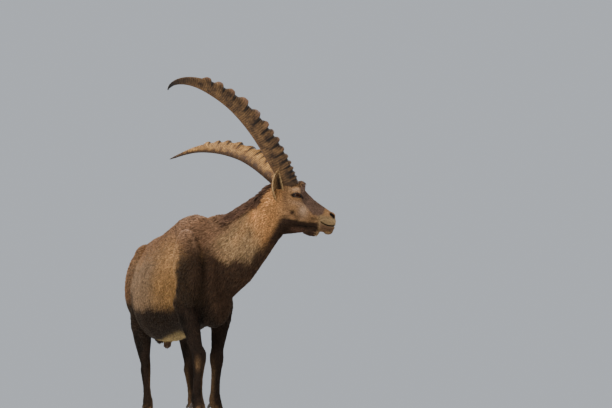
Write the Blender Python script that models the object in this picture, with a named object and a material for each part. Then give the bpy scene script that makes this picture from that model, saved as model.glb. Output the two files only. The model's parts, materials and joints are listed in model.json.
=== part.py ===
# Alpine ibex, an adult male, standing still with its head turned to its left.
# Metres, +Z up. The body faces +X, its left side is +Y and its hooves stand on Z = 0.

import math
import random

import bmesh
import bpy
from mathutils import Matrix, Vector

# Gap kept between neighbouring nodes
GAP = 0.0003

# Body along the back: distance from the withers (forward positive), heading in degrees,
# height of the back, height of the underside, half width, roundness of the flanks
TRUNK = [
    (-0.795, -7, 0.735, 0.605, 0.040, 2.0),
    (-0.765, -7, 0.790, 0.545, 0.085, 2.0),
    (-0.700, -7, 0.838, 0.488, 0.122, 2.1),
    (-0.600, -6, 0.862, 0.438, 0.138, 2.1),
    (-0.500, -5, 0.860, 0.378, 0.142, 2.2),
    (-0.390, -4, 0.850, 0.352, 0.152, 2.3),
    (-0.270, -2, 0.846, 0.346, 0.156, 2.3),
    (-0.150, 1, 0.862, 0.356, 0.148, 2.2),
    (-0.050, 4, 0.884, 0.370, 0.134, 2.1),
    (0.040, 7, 0.880, 0.376, 0.122, 2.1),
    (0.130, 10, 0.850, 0.392, 0.108, 2.0),
    (0.200, 13, 0.790, 0.430, 0.082, 2.0),
    (0.245, 15, 0.710, 0.500, 0.045, 2.0),
]

# Neck: centre, half width, half depth, from inside the chest to inside the head
NECK = [
    ((0.020, 0.000, 0.640), 0.100, 0.190),
    ((0.115, 0.038, 0.645), 0.098, 0.190),
    ((0.202, 0.105, 0.704), 0.088, 0.158),
    ((0.266, 0.170, 0.778), 0.076, 0.122),
    ((0.312, 0.228, 0.846), 0.063, 0.100),
    ((0.345, 0.275, 0.892), 0.057, 0.092),
]

# Head: place of the point between the horn bases, then heading, nod (down) and tilt in degrees
HEAD_AT = (0.357, 0.297, 0.977)
HEAD_HEADING = 74.3
HEAD_NOD = 2.9
HEAD_TILT = -5.8

# Head sections: distance ahead of the horns, crown height, throat height, half width,
# place of the widest level (0 at the throat, 1 at the crown)
SKULL = [
    (-0.125, -0.066, -0.232, 0.046, 0.55),
    (-0.100, -0.036, -0.246, 0.070, 0.56),
    (-0.074, -0.014, -0.240, 0.073, 0.58),
    (-0.040, 0.000, -0.224, 0.069, 0.62),
    (0.000, 0.006, -0.217, 0.070, 0.66),
    (0.035, 0.000, -0.211, 0.067, 0.70),
    (0.062, -0.012, -0.206, 0.059, 0.70),
    (0.088, -0.037, -0.201, 0.049, 0.66),
    (0.115, -0.060, -0.197, 0.041, 0.60),
    (0.145, -0.079, -0.195, 0.036, 0.55),
    (0.170, -0.094, -0.199, 0.034, 0.50),
    (0.188, -0.105, -0.198, 0.032, 0.48),
    (0.203, -0.118, -0.188, 0.026, 0.52),
    (0.211, -0.134, -0.170, 0.015, 0.55),
]
EYE_AT = (0.036, 0.0555, -0.067)
EYE_RADIUS = 0.0195
EYE_OPENING = (0.0175, 0.0092, 0.0080)
NOSTRIL_AT = (0.192, 0.024, -0.129)
MOUTH_FRONT = (0.212, 0.000, -0.169)
MOUTH_CORNER = (0.124, 0.041, -0.155)

# Horns: length of the left (1) and right (-1), lift of the root in degrees and how the curve
# tightens, how far the tip hooks over, how they part sideways, then depth and width,
# and how far the rear side bulges beyond half the depth
HORN_LENGTH = {1: 0.722, -1: 0.821}
HORN_ROOT = (0.000, 0.038, 0.000)
HORN_LIFT = (121.9, 41.5, 36.5)
HORN_BEND = {1: 20.0, -1: 25.0}
HORN_HOOK = {1: -24.0, -1: 38.0}
HORN_SPLAY = (17.4, 63.4, -48.0)
HORN_DEPTH = (0.076, 0.082, 0.074, 0.058, 0.041, 0.023, 0.008)
HORN_WIDTH = (0.058, 0.058, 0.052, 0.044, 0.034, 0.024, 0.008)
HORN_REAR = {
    1: (0.000, 0.009, 0.015, 0.018, 0.012, 0.001, 0.000),
    -1: (0.000, 0.000, 0.001, 0.006, 0.012, 0.009, 0.001),
}
HORN_SINK = 0.022
HORN_SIDES = 10
HORN_TWIST = 18
# Place of each knob along the horn, and its height as a share of the highest one's
KNOBS = [
    (0.008, 0.40), (0.030, 0.46), (0.056, 0.52), (0.086, 0.58), (0.122, 0.64),
    (0.166, 0.72), (0.220, 0.80), (0.266, 0.88), (0.316, 0.95), (0.388, 1.00),
    (0.482, 1.00), (0.568, 0.92), (0.636, 0.85), (0.712, 0.72),
]
KNOB_RISE = 0.0130

EAR_ROOT = (-0.047, 0.060, -0.082)
EAR_AXIS = (-0.070, 0.550, 0.830)
EAR_MOUTH = (0.62, 0.76, -0.18)
EAR_LENGTH = 0.125
EAR_WIDTH = 0.058
EAR_WALL = 0.0030

BEARD_ROWS = 6
CREST_ROWS = 7
TAIL_LENGTH = 0.100

# Legs: side (+1 left), joints as (distance along the back, distance sideways), and the way
# the hoof points in degrees; the heights of the joints follow
FORE_LEGS = {
    "right": {"side": -1, "hoof": (0.208, -0.028), "elbow": (0.098, -0.084), "heading": 12},
    "left": {"side": 1, "hoof": (0.108, 0.082), "elbow": (0.035, 0.120), "heading": 8},
}
HIND_LEGS = {
    "right": {"side": -1, "hoof": (-0.608, -0.032), "hock": (-0.676, -0.038),
              "stifle": (-0.575, -0.080), "hip": (-0.630, -0.068), "heading": -8},
    "left": {"side": 1, "hoof": (-0.462, 0.158), "hock": (-0.545, 0.150),
             "stifle": (-0.500, 0.138), "hip": (-0.620, 0.086), "heading": 2},
}
CARPUS_HEIGHT = 0.250
FETLOCK_HEIGHT = 0.082
CORONET_HEIGHT = 0.036
ELBOW_HEIGHT = 0.470
HOCK_HEIGHT = 0.232
STIFLE_HEIGHT = 0.440
HOOF_LENGTH = 0.070
HOOF_WIDTH = 0.029

# Triangles left in the body and in the head before locks, lids, nostrils and mouth are added
BODY_FACES = 4300
HEAD_FACES = 1600

COLOURS = {
    "coat": ((0.205, 0.135, 0.085, 1.0), 0.85),
    "leg_coat": ((0.055, 0.038, 0.028, 1.0), 0.85),
    "head_coat": ((0.240, 0.165, 0.110, 1.0), 0.82),
    "ear_coat": ((0.290, 0.210, 0.140, 1.0), 0.85),
    "horn": ((0.230, 0.175, 0.120, 1.0), 0.55),
    "hoof": ((0.045, 0.040, 0.036, 1.0), 0.50),
    "eye": ((0.060, 0.030, 0.015, 1.0), 0.12),
    "tail_coat": ((0.060, 0.042, 0.030, 1.0), 0.88),
}


def blend(values, t):
    """Smooth value at t, from 0 to 1, along evenly spaced values."""
    at = min(max(t, 0.0), 1.0) * (len(values) - 1)
    i = min(int(at), len(values) - 2)
    u = at - i
    p0 = values[max(i - 1, 0)]
    p1, p2 = values[i], values[i + 1]
    p3 = values[min(i + 2, len(values) - 1)]
    return p1 + 0.5 * u * (p2 - p0 + u * (2 * p0 - 5 * p1 + 4 * p2 - p3 + u * (3 * (p1 - p2) + p3 - p0)))


def clear_scene():
    for thing in list(bpy.data.objects):
        bpy.data.objects.remove(thing, do_unlink=True)


def material(slot):
    made = bpy.data.materials.get(slot)
    if made:
        return made
    colour, rough = COLOURS[slot]
    made = bpy.data.materials.new(slot)
    made.use_nodes = True
    shader = made.node_tree.nodes["Principled BSDF"]
    shader.inputs["Base Color"].default_value = colour
    shader.inputs["Roughness"].default_value = rough
    shader.inputs["Metallic"].default_value = 0.0
    made.diffuse_color = colour
    return made


def place_mesh(name, bm):
    """Turn a bmesh into an object, with its faces pointing out."""
    bmesh.ops.recalc_face_normals(bm, faces=bm.faces)
    mesh = bpy.data.meshes.new(name)
    bm.to_mesh(mesh)
    bm.free()
    thing = bpy.data.objects.new(name, mesh)
    bpy.context.scene.collection.objects.link(thing)
    return thing


def apply_modifiers(thing):
    """Replace an object's mesh by what its modifiers make of it."""
    bpy.context.view_layer.update()
    seen = thing.evaluated_get(bpy.context.evaluated_depsgraph_get())
    mesh = bpy.data.meshes.new_from_object(seen)
    thing.modifiers.clear()
    thing.data = mesh
    return thing


def copy_of(thing, name):
    made = bpy.data.objects.new(name, thing.data.copy())
    bpy.context.scene.collection.objects.link(made)
    return made


def keep_largest(thing):
    """Keep only the largest closed surface of a mesh."""
    bm = bmesh.new()
    bm.from_mesh(thing.data)
    left = set(bm.faces)
    groups = []
    while left:
        group = []
        queue = [left.pop()]
        while queue:
            face = queue.pop()
            group.append(face)
            for edge in face.edges:
                for near in edge.link_faces:
                    if near in left:
                        left.remove(near)
                        queue.append(near)
        groups.append(group)
    groups.sort(key=lambda group: sum(face.calc_area() for face in group), reverse=True)
    for group in groups[1:]:
        bmesh.ops.delete(bm, geom=group, context="FACES")
    bmesh.ops.delete(bm, geom=[v for v in bm.verts if not v.link_faces], context="VERTS")
    bm.to_mesh(thing.data)
    bm.free()


def tidy_mesh(thing, merge=0.00002):
    """Weld stray doubles and leave a mesh of triangles."""
    bm = bmesh.new()
    bm.from_mesh(thing.data)
    bmesh.ops.remove_doubles(bm, verts=bm.verts, dist=merge)
    bmesh.ops.dissolve_degenerate(bm, edges=bm.edges, dist=merge)
    bmesh.ops.triangulate(bm, faces=bm.faces)
    bm.to_mesh(thing.data)
    bm.free()


def boolean(thing, cutter, operation, solver="EXACT"):
    """Cut or join one object with another and remove the other."""
    cut = thing.modifiers.new("cut", "BOOLEAN")
    cut.operation = operation
    cut.solver = solver
    cut.object = cutter
    apply_modifiers(thing)
    bpy.data.objects.remove(cutter, do_unlink=True)
    return thing


def join_all(thing, pieces, solver="EXACT"):
    """Fuse a list of closed pieces onto one object with a single union."""
    if not pieces:
        return thing
    group = bpy.data.collections.new("pieces")
    bpy.context.scene.collection.children.link(group)
    for piece in pieces:
        bpy.context.scene.collection.objects.unlink(piece)
        group.objects.link(piece)
    fuse = thing.modifiers.new("fuse", "BOOLEAN")
    fuse.operation = "UNION"
    fuse.solver = solver
    fuse.operand_type = "COLLECTION"
    fuse.collection = group
    apply_modifiers(thing)
    for piece in pieces:
        bpy.data.objects.remove(piece, do_unlink=True)
    bpy.data.collections.remove(group)
    keep_largest(thing)
    return thing


def loft(name, rings, close_ends=True):
    """Closed skin over rings that have the same number of points."""
    bm = bmesh.new()
    rows = [[bm.verts.new(point) for point in ring] for ring in rings]
    for low, high in zip(rows, rows[1:]):
        for i in range(len(low)):
            k = (i + 1) % len(low)
            bm.faces.new((low[i], low[k], high[k], high[i]))
    if close_ends:
        bm.faces.new(list(reversed(rows[0])))
        bm.faces.new(rows[-1])
    return place_mesh(name, bm)


def ellipsoid(name, centre, radii, turn=Matrix.Identity(3), steps=3):
    bm = bmesh.new()
    bmesh.ops.create_icosphere(bm, subdivisions=steps, radius=1.0)
    for vert in bm.verts:
        vert.co = Vector(centre) + turn @ Vector([vert.co[i] * radii[i] for i in range(3)])
    return place_mesh(name, bm)


def merge_objects(name, pieces):
    """Put the meshes of several objects in one, still as separate shells."""
    bm = bmesh.new()
    for piece in pieces:
        bm.from_mesh(piece.data)
        bpy.data.objects.remove(piece, do_unlink=True)
    return place_mesh(name, bm)


def melt(thing, voxel, smooth, faces):
    """Blend overlapping shells into one soft skin of about the given number of triangles."""
    remesh = thing.modifiers.new("blend", "REMESH")
    remesh.mode = "VOXEL"
    remesh.voxel_size = voxel
    soften = thing.modifiers.new("soften", "SMOOTH")
    soften.factor = 0.5
    soften.iterations = smooth
    apply_modifiers(thing)
    keep_largest(thing)
    count = sum(len(face.vertices) - 2 for face in thing.data.polygons)
    thin = thing.modifiers.new("thin", "DECIMATE")
    thin.ratio = min(1.0, faces / count)
    thin.use_collapse_triangulate = True
    apply_modifiers(thing)
    keep_largest(thing)
    return thing


def wedge(planes, reach=1.6):
    """Convex block: a large cube cut by planes, each a point and the normal of the side cut off."""
    bm = bmesh.new()
    bmesh.ops.create_cube(bm, size=2 * reach)
    for point, normal in planes:
        parts = bm.verts[:] + bm.edges[:] + bm.faces[:]
        bmesh.ops.bisect_plane(bm, geom=parts, plane_co=point, plane_no=normal, clear_outer=True)
        rim = [edge for edge in bm.edges if edge.is_boundary]
        bmesh.ops.holes_fill(bm, edges=rim)
    bmesh.ops.triangulate(bm, faces=bm.faces)
    return place_mesh("wedge", bm)


def split_off(body, name, planes):
    """Cut the part of a body inside the planes into a new object, a gap apart."""
    piece = copy_of(body, name)
    boolean(piece, wedge(planes), "INTERSECT")
    keep_largest(piece)
    moved = [(Vector(point) + Vector(normal).normalized() * GAP, normal) for point, normal in planes]
    boolean(body, wedge(moved), "DIFFERENCE")
    keep_largest(body)
    return piece


def finish(thing, slot):
    """Give a node its material and leave it as clean triangles."""
    tidy_mesh(thing)
    keep_largest(thing)
    thing.data.materials.clear()
    thing.data.materials.append(material(slot))
    for face in thing.data.polygons:
        face.material_index = 0
    thing.data.shade_smooth()
    thing.data.set_sharp_from_angle(angle=math.radians(40))


def spine(at):
    """Point on the floor under the back, and the heading there, at a distance from the withers."""
    steps = 60
    spot = Vector((0.0, 0.0, 0.0))
    for i in range(steps):
        angle = math.radians(heading((i + 0.5) / steps * at))
        spot += Vector((math.cos(angle), math.sin(angle), 0.0)) * (at / steps)
    return spot, math.radians(heading(at))


def heading(at):
    for near, far in zip(TRUNK, TRUNK[1:]):
        if at <= far[0]:
            t = max(0.0, (at - near[0]) / (far[0] - near[0]))
            return near[1] + (far[1] - near[1]) * t
    return TRUNK[-1][1]


def beside(at, sideways, height):
    """World point beside the back: left is positive."""
    spot, angle = spine(at)
    left = Vector((-math.sin(angle), math.cos(angle), 0.0))
    return spot + left * sideways + Vector((0.0, 0.0, height))


def head_frame():
    turn = Matrix.Rotation(math.radians(HEAD_HEADING), 4, "Z")
    turn @= Matrix.Rotation(math.radians(HEAD_NOD), 4, "Y")
    turn @= Matrix.Rotation(math.radians(HEAD_TILT), 4, "X")
    return Matrix.Translation(HEAD_AT) @ turn


def superellipse(angle, power):
    """Unit outline that grows squarer as the power rises."""
    c, s = math.cos(angle), math.sin(angle)
    return (math.copysign(abs(c) ** (2 / power), c), math.copysign(abs(s) ** (2 / power), s))


def trunk():
    rings = []
    for at, _, top, low, half, power in TRUNK:
        spot, angle = spine(at)
        left = Vector((-math.sin(angle), math.cos(angle), 0.0))
        belly = low + (top - low) * 0.44
        ring = []
        for i in range(28):
            across, up = superellipse(2 * math.pi * i / 28, power)
            tall = (top - belly) if up > 0 else (belly - low)
            narrow = 1.0 - 0.16 * max(up, 0.0)
            ring.append(spot + left * (across * half * narrow) + Vector((0, 0, belly + up * tall)))
        rings.append(ring)
    return loft("trunk", rings)


def neck():
    rings = []
    centres = [Vector(row[0]) for row in NECK]
    for i, (centre, wide, deep) in enumerate(NECK):
        along = centres[min(i + 1, len(centres) - 1)] - centres[max(i - 1, 0)]
        along.normalize()
        left = Vector((0, 0, 1)).cross(along).normalized()
        up = along.cross(left)
        ring = []
        for k in range(24):
            angle = 2 * math.pi * k / 24
            across = math.cos(angle) * wide * (1.0 - 0.22 * max(math.sin(angle), 0.0))
            ring.append(Vector(centre) + left * across + up * (math.sin(angle) * deep))
        rings.append(ring)
    return loft("neck", rings)


def limb(name, points):
    """Tapered limb through points of (place, half size along, half size across, heading)."""
    rings = []
    for i, (spot, along, across, turned) in enumerate(points):
        before = points[max(i - 1, 0)][0]
        after = points[min(i + 1, len(points) - 1)][0]
        run = (Vector(after) - Vector(before)).normalized()
        ahead = Vector((math.cos(math.radians(turned)), math.sin(math.radians(turned)), 0.0))
        side = run.cross(ahead).normalized()
        front = side.cross(run).normalized()
        ring = []
        for k in range(14):
            angle = 2 * math.pi * k / 14
            ring.append(Vector(spot) + front * (math.cos(angle) * along)
                        + side * (math.sin(angle) * across))
        rings.append(ring)
    return loft(name, rings)


def fore_leg(leg):
    side, turned = leg["side"], leg["heading"]
    foot = Vector((leg["hoof"][0], leg["hoof"][1], 0.0))
    ahead = Vector((math.cos(math.radians(turned)), math.sin(math.radians(turned)), 0.0))
    elbow = beside(leg["elbow"][0], leg["elbow"][1], ELBOW_HEIGHT)
    carpus = foot - ahead * 0.006 + Vector((0, 0, CARPUS_HEIGHT))
    fetlock = foot - ahead * 0.018 + Vector((0, 0, FETLOCK_HEIGHT))
    shoulder = elbow + Vector((0.055, -0.030 * side, 0.130))

    rows = [
        (shoulder, 0.075, 0.045, turned),
        (elbow + Vector((0.010, 0, 0.010)), 0.066, 0.046, turned),
        (elbow.lerp(carpus, 0.22) + ahead * 0.012, 0.050, 0.040, turned),
        (elbow.lerp(carpus, 0.50) + ahead * 0.006, 0.038, 0.033, turned),
        (elbow.lerp(carpus, 0.80), 0.028, 0.026, turned),
        (carpus + Vector((0, 0, 0.014)), 0.030, 0.030, turned),
        (carpus - Vector((0, 0, 0.012)), 0.029, 0.029, turned),
        (carpus - Vector((0, 0, 0.040)), 0.024, 0.023, turned),
        (carpus.lerp(fetlock, 0.50), 0.021, 0.020, turned),
        (carpus.lerp(fetlock, 0.82), 0.022, 0.021, turned),
        (fetlock, 0.027, 0.027, turned),
        (foot + ahead * 0.002 + Vector((0, 0, 0.052)), 0.024, 0.026, turned),
        (foot + ahead * 0.010 + Vector((0, 0, 0.024)), 0.027, 0.029, turned),
        (foot + ahead * 0.014 + Vector((0, 0, 0.008)), 0.024, 0.026, turned),
    ]
    return limb("fore_leg", rows)


def hind_leg(leg):
    turned = leg["heading"]
    foot = beside(leg["hoof"][0], leg["hoof"][1], 0.0)
    ahead = Vector((math.cos(math.radians(turned)), math.sin(math.radians(turned)), 0.0))
    hock = beside(leg["hock"][0], leg["hock"][1], HOCK_HEIGHT)
    stifle = beside(leg["stifle"][0], leg["stifle"][1], STIFLE_HEIGHT)
    hip = beside(leg["hip"][0], leg["hip"][1], 0.640)
    fetlock = foot - ahead * 0.018 + Vector((0, 0, FETLOCK_HEIGHT))
    rows = [
        (hip, 0.120, 0.062, turned),
        (hip.lerp(stifle, 0.55) - ahead * 0.020, 0.112, 0.055, turned),
        (stifle - ahead * 0.024, 0.098, 0.046, turned),
        (stifle.lerp(hock, 0.35) - ahead * 0.014, 0.070, 0.039, turned),
        (stifle.lerp(hock, 0.70) - ahead * 0.006, 0.043, 0.027, turned),
        (hock + ahead * 0.004 + Vector((0, 0, 0.022)), 0.032, 0.023, turned),
        (hock - ahead * 0.002, 0.033, 0.025, turned),
        (hock.lerp(fetlock, 0.22), 0.026, 0.022, turned),
        (hock.lerp(fetlock, 0.55), 0.020, 0.018, turned),
        (hock.lerp(fetlock, 0.85), 0.021, 0.020, turned),
        (fetlock, 0.026, 0.025, turned),
        (foot + ahead * 0.002 + Vector((0, 0, 0.052)), 0.023, 0.025, turned),
        (foot + ahead * 0.010 + Vector((0, 0, 0.024)), 0.026, 0.028, turned),
        (foot + ahead * 0.014 + Vector((0, 0, 0.008)), 0.023, 0.025, turned),
    ]
    return limb("hind_leg", rows)


def muscles():
    """Shoulders, thighs, buttocks, brisket and the male's underside."""
    made = []
    lean = Matrix.Rotation(math.radians(-24), 3, "Y")
    back = Matrix.Rotation(math.radians(14), 3, "Y")
    for side in (-1, 1):
        elbow = (FORE_LEGS["right"] if side < 0 else FORE_LEGS["left"])["elbow"][0]
        made.append(ellipsoid("shoulder", beside(elbow + 0.030, side * 0.088, 0.640),
                              (0.105, 0.052, 0.165), lean))
        made.append(ellipsoid("upper_arm", beside(elbow + 0.050, side * 0.092, 0.540),
                              (0.085, 0.048, 0.085)))
        made.append(ellipsoid("thigh", beside(-0.630, side * 0.084, 0.640),
                              (0.118, 0.068, 0.165), back))
        made.append(ellipsoid("hip_point", beside(-0.560, side * 0.070, 0.775),
                              (0.110, 0.050, 0.052)))
    made.append(ellipsoid("brisket", beside(0.160, 0.020, 0.482), (0.080, 0.078, 0.102)))
    made.append(ellipsoid("sheath", beside(-0.345, 0.0, 0.340), (0.040, 0.016, 0.022)))
    nape = Matrix.Rotation(math.radians(30), 3, "Z")
    made.append(ellipsoid("nape", (0.130, 0.066, 0.792), (0.115, 0.052, 0.072), nape))
    made.append(ellipsoid("scrotum", beside(-0.620, 0.018, 0.410), (0.034, 0.034, 0.055)))
    return made


def flesh():
    """The whole body but the head, as one soft skin."""
    shells = [trunk(), neck()] + muscles()
    shells += [fore_leg(leg) for leg in FORE_LEGS.values()]
    shells += [hind_leg(leg) for leg in HIND_LEGS.values()]
    return melt(merge_objects("torso", shells), 0.0095, 6, BODY_FACES)


def head_point(spot, side=1):
    return head_frame() @ Vector((spot[0], spot[1] * side, spot[2]))


def skull():
    rings = []
    for ahead, top, low, half, level in SKULL:
        mid = low + (top - low) * level
        ring = []
        for i in range(24):
            across, up = superellipse(2 * math.pi * i / 24, 2.2)
            tall = (top - mid) if up > 0 else (mid - low)
            jaw = 1.0 - 0.34 * max(-up, 0.0)
            ring.append(head_frame() @ Vector((ahead, across * half * jaw, mid + up * tall)))
        rings.append(ring)
    return loft("head", rings)


def head_swells():
    """Brows, cheeks, nose pad, lips and chin that stand out from the head's plain form."""
    turn = head_frame().to_3x3()
    made = []
    for side in (-1, 1):
        made.append(ellipsoid("brow", head_point((0.034, 0.052, -0.047), side),
                              (0.036, 0.021, 0.018), turn))
        made.append(ellipsoid("orbit", head_point((0.036, 0.049, -0.069), side),
                              (0.032, 0.022, 0.026), turn))
        made.append(ellipsoid("jowl", head_point((-0.004, 0.030, -0.135), side),
                              (0.062, 0.029, 0.064), turn))
        made.append(ellipsoid("nose_wing", head_point((0.190, 0.020, -0.130), side),
                              (0.018, 0.014, 0.017), turn))
        made.append(ellipsoid("upper_lip", head_point((0.172, 0.021, -0.152), side),
                              (0.040, 0.014, 0.013), turn))
        made.append(ellipsoid("lower_lip", head_point((0.160, 0.018, -0.178), side),
                              (0.040, 0.013, 0.013), turn))
    made.append(ellipsoid("chin", head_point((0.181, 0.0, -0.189)), (0.021, 0.022, 0.017), turn))
    made.append(ellipsoid("crown", head_point((0.006, 0.0, -0.012)), (0.052, 0.060, 0.034), turn))
    made.append(ellipsoid("forehead", head_point((0.050, 0.0, -0.008)), (0.028, 0.034, 0.024), turn))
    made.append(ellipsoid("throat", head_point((-0.050, 0.0, -0.180)), (0.050, 0.044, 0.070), turn))
    made.append(ellipsoid("beard_root", head_point((0.112, 0.0, -0.194)), (0.034, 0.021, 0.017), turn))
    return made


def horn_curve(t, side):
    """Place and direction of the horn's centreline in the head's frame, left horn."""
    spot = Vector(HORN_ROOT)
    steps = 48
    reach = max(t, 0.0)
    for i in range(steps):
        spot += horn_direction((i + 0.5) / steps * reach, side) * (HORN_LENGTH[side] * reach / steps)
    if t < 0:
        spot += horn_direction(0.0, side) * (HORN_LENGTH[side] * t)
    return spot, horn_direction(t, side)


def horn_direction(t, side):
    u = max(t, 0.0)
    lift = HORN_LIFT[0] + HORN_LIFT[1] * u + HORN_LIFT[2] * u * u + HORN_BEND[side] * u ** 3
    lift = math.radians(lift + HORN_HOOK[side] * u ** 9)
    splay = math.radians(HORN_SPLAY[0] + HORN_SPLAY[1] * u + HORN_SPLAY[2] * u * u)
    return Vector((math.cos(lift) * math.cos(splay), math.sin(splay), math.sin(lift) * math.cos(splay)))


def horn_section(t, grow, side, rise):
    """One ring of the horn: broad in front, narrower behind, raised in front by a knob."""
    spot, along = horn_curve(t, side)
    across = Vector((0.0, 1.0, 0.0))
    across = (across - along * across.dot(along)).normalized()
    across = Matrix.Rotation(math.radians(HORN_TWIST * min(t * 2.5, 1.0)), 3, along) @ across
    front = across.cross(along).normalized()
    deep = blend(HORN_DEPTH, t) / 2 + grow
    wide = blend(HORN_WIDTH, t) / 2 + grow
    rear = blend(HORN_REAR[side], t)
    ring = []
    for i in range(HORN_SIDES):
        angle = 2 * math.pi * (i + 0.5) / HORN_SIDES
        u, v = superellipse(angle, 2.6)
        pinch = 1.0 - 0.26 * max(-u, 0.0)
        lift = rise * max(u, 0.0) ** 1.3
        point = spot + front * (u * deep + lift - rear * max(-u, 0.0))
        point += across * (v * wide * pinch * (1 + 0.5 * lift / deep))
        point.y *= side
        ring.append(head_frame() @ point)
    return ring


def horn(name, side, grow=0.0):
    """A horn with its root sunk into the head; grown a little, it cuts its own pocket there."""
    start = -(HORN_SINK + grow) / HORN_LENGTH[side]
    rings = [horn_section(start, grow, side, 0.0)]
    for i, (at, share) in enumerate(KNOBS):
        before = at - KNOBS[i - 1][0] if i else 0.022
        after = KNOBS[i + 1][0] - at if i + 1 < len(KNOBS) else 0.075
        # Each knob rises steeply on its root side and runs out gently toward the tip
        steps = ((-0.36 * before, 0.0), (-0.08 * before, 1.0), (0.14 * after, 0.92), (0.50 * after, 0.0))
        for step, rise in steps:
            rings.append(horn_section(at + step, grow, side, KNOB_RISE * share * rise))
    for t in (0.80, 0.86, 0.91, 0.95, 0.98, 1.0):
        rings.append(horn_section(t, grow, side, 0.0))
    return loft(name, rings)


def ear_ring(t, thick, side):
    """Cupped section of the ear at t along it, in the head's frame."""
    root = Vector(EAR_ROOT)
    axis = Vector(EAR_AXIS).normalized()
    mouth = Vector(EAR_MOUTH)
    mouth = (mouth - axis * mouth.dot(axis)).normalized()
    edge = axis.cross(mouth)
    spot = root + axis * (EAR_LENGTH * t) - mouth * (0.010 * math.sin(math.pi * t))
    half = EAR_WIDTH / 2 * blend((0.42, 0.80, 1.0, 0.98, 0.80, 0.50, 0.10), t)
    cup = math.radians(blend((165, 150, 125, 105, 95, 85, 60), t))
    outer, inner = [], []
    count = 7
    for i in range(count):
        a = cup * (i / (count - 1) * 2 - 1) * 0.5 * 1.15
        out = Vector((math.cos(a), math.sin(a), 0))
        wall = thick * (1.0 if 0 < i < count - 1 else 0.55)
        outer.append(spot + mouth * (half * 0.55 - out.x * half) + edge * (out.y * half * 1.05))
        inner.append(outer[-1] + (mouth * out.x - edge * out.y) * wall)
    ring = outer + list(reversed(inner))
    for point in ring:
        point.y *= side
    return [head_frame() @ point for point in ring]


def ear(name, side):
    rings = [ear_ring(t, EAR_WALL, side) for t in (0.0, 0.15, 0.34, 0.55, 0.75, 0.90, 1.0)]
    return loft(name, rings)


def ear_base(name, side, grow):
    """Fleshy stalk that carries the ear's cup and is sunk in the head."""
    root = Vector(EAR_ROOT)
    axis = Vector(EAR_AXIS).normalized()
    spot = root + axis * 0.010 + Vector((-0.006, -0.006, 0.0))
    spot.y *= side
    return ellipsoid(name, head_frame() @ spot, (0.016 + grow, 0.016 + grow, 0.032 + grow),
                     head_frame().to_3x3(), 2)


def lock(root, way, out, length, width, thick, bend=0.0):
    """Flat tapered lock of hair: its root is sunk, its tip bends along its lie."""
    way = Vector(way).normalized()
    flat = Vector(out)
    flat = (flat - way * flat.dot(way)).normalized()
    across = way.cross(flat)
    rings = []
    for t, scale in ((0.0, 0.70), (0.30, 1.0), (0.62, 0.80), (0.86, 0.42)):
        spot = Vector(root) + way * (length * t) + flat * (bend * length * t * t)
        ring = []
        for u, v in ((1, 0), (0, 1), (-1, 0), (0, -1)):
            ring.append(spot + across * (u * width / 2 * scale) + flat * (v * thick / 2 * scale))
        rings.append(ring)
    made = loft("lock", rings)
    bm = bmesh.new()
    bm.from_mesh(made.data)
    bpy.data.objects.remove(made, do_unlink=True)
    bm.verts.ensure_lookup_table()
    last = [v for v in bm.verts][-4:]
    tip = Vector(root) + way * length + flat * (bend * length)
    cap = [face for face in bm.faces if set(face.verts) == set(last)]
    if cap:
        peak = bmesh.ops.poke(bm, faces=cap)["verts"][0]
        peak.co = tip
    bmesh.ops.triangulate(bm, faces=bm.faces)
    return place_mesh("lock", bm)


def surface_hit(body, start, toward):
    """Where a line from start meets a body's surface, and the normal there."""
    hit, spot, normal, _ = body.ray_cast(Vector(start), Vector(toward).normalized())
    return (spot, normal) if hit else (None, None)


def head_locks(head, rng):
    """Short beard under the chin and the forelock in front of the horns."""
    made = []
    turn = head_frame().to_3x3()
    for row in range(BEARD_ROWS):
        t = row / (BEARD_ROWS - 1)
        for k in range(3 + row % 2):
            across = k - 1.0 - 0.5 * (row % 2)
            start = head_point((0.148 - 0.060 * t, 0.0115 * across + rng.uniform(-0.001, 0.001), -0.330))
            spot, normal = surface_hit(head, start, turn @ Vector((0, 0, 1)))
            if spot is None:
                continue
            way = turn @ Vector((-0.80 + rng.uniform(-0.08, 0.08), 0.12 * across, -0.62)).normalized()
            long = 0.028 + 0.012 * math.sin(math.pi * t) + rng.uniform(-0.003, 0.003)
            made.append(lock(spot - way * 0.008, way, normal, long, 0.019, 0.010, -0.16))
    for row in range(3):
        for k in range(4 + row % 2):
            across = (k - 1.5 - 0.5 * (row % 2)) * 0.0135 + rng.uniform(-0.001, 0.001)
            start = head_point((0.030 + 0.017 * row, across, 0.100))
            spot, normal = surface_hit(head, start, turn @ Vector((0, 0, -1)))
            if spot is None:
                continue
            way = turn @ Vector((0.92, across * 6, 0.10 - 0.34 * row)).normalized()
            made.append(lock(spot - way * 0.010, way, normal, 0.034 + rng.uniform(-0.003, 0.003),
                             0.019, 0.009, -0.24))
    return made


def mouth_groove(side):
    """Thin curved blade that cuts the line of the mouth."""
    front, corner = Vector(MOUTH_FRONT), Vector(MOUTH_CORNER)
    rings = []
    for i in range(7):
        t = i / 6
        spot = front.lerp(corner, t)
        spot.y = corner.y * math.sin(0.5 * math.pi * t) ** 0.65
        spot.z += 0.006 * math.sin(math.pi * t) - 0.010 * math.sin(math.pi * t) ** 2
        inward = Vector((-1.0 + t, -t, 0)).normalized() * 0.012
        outward = -inward * 1.3
        high = 0.0022 * (1.0 - 0.6 * t)
        ring = [spot + outward + Vector((0, 0, high)), spot + inward + Vector((0, 0, high * 0.4)),
                spot + inward - Vector((0, 0, high * 0.4)), spot + outward - Vector((0, 0, high))]
        rings.append([head_frame() @ Vector((p.x, p.y * side, p.z)) for p in ring])
    return loft("groove", rings)


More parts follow.
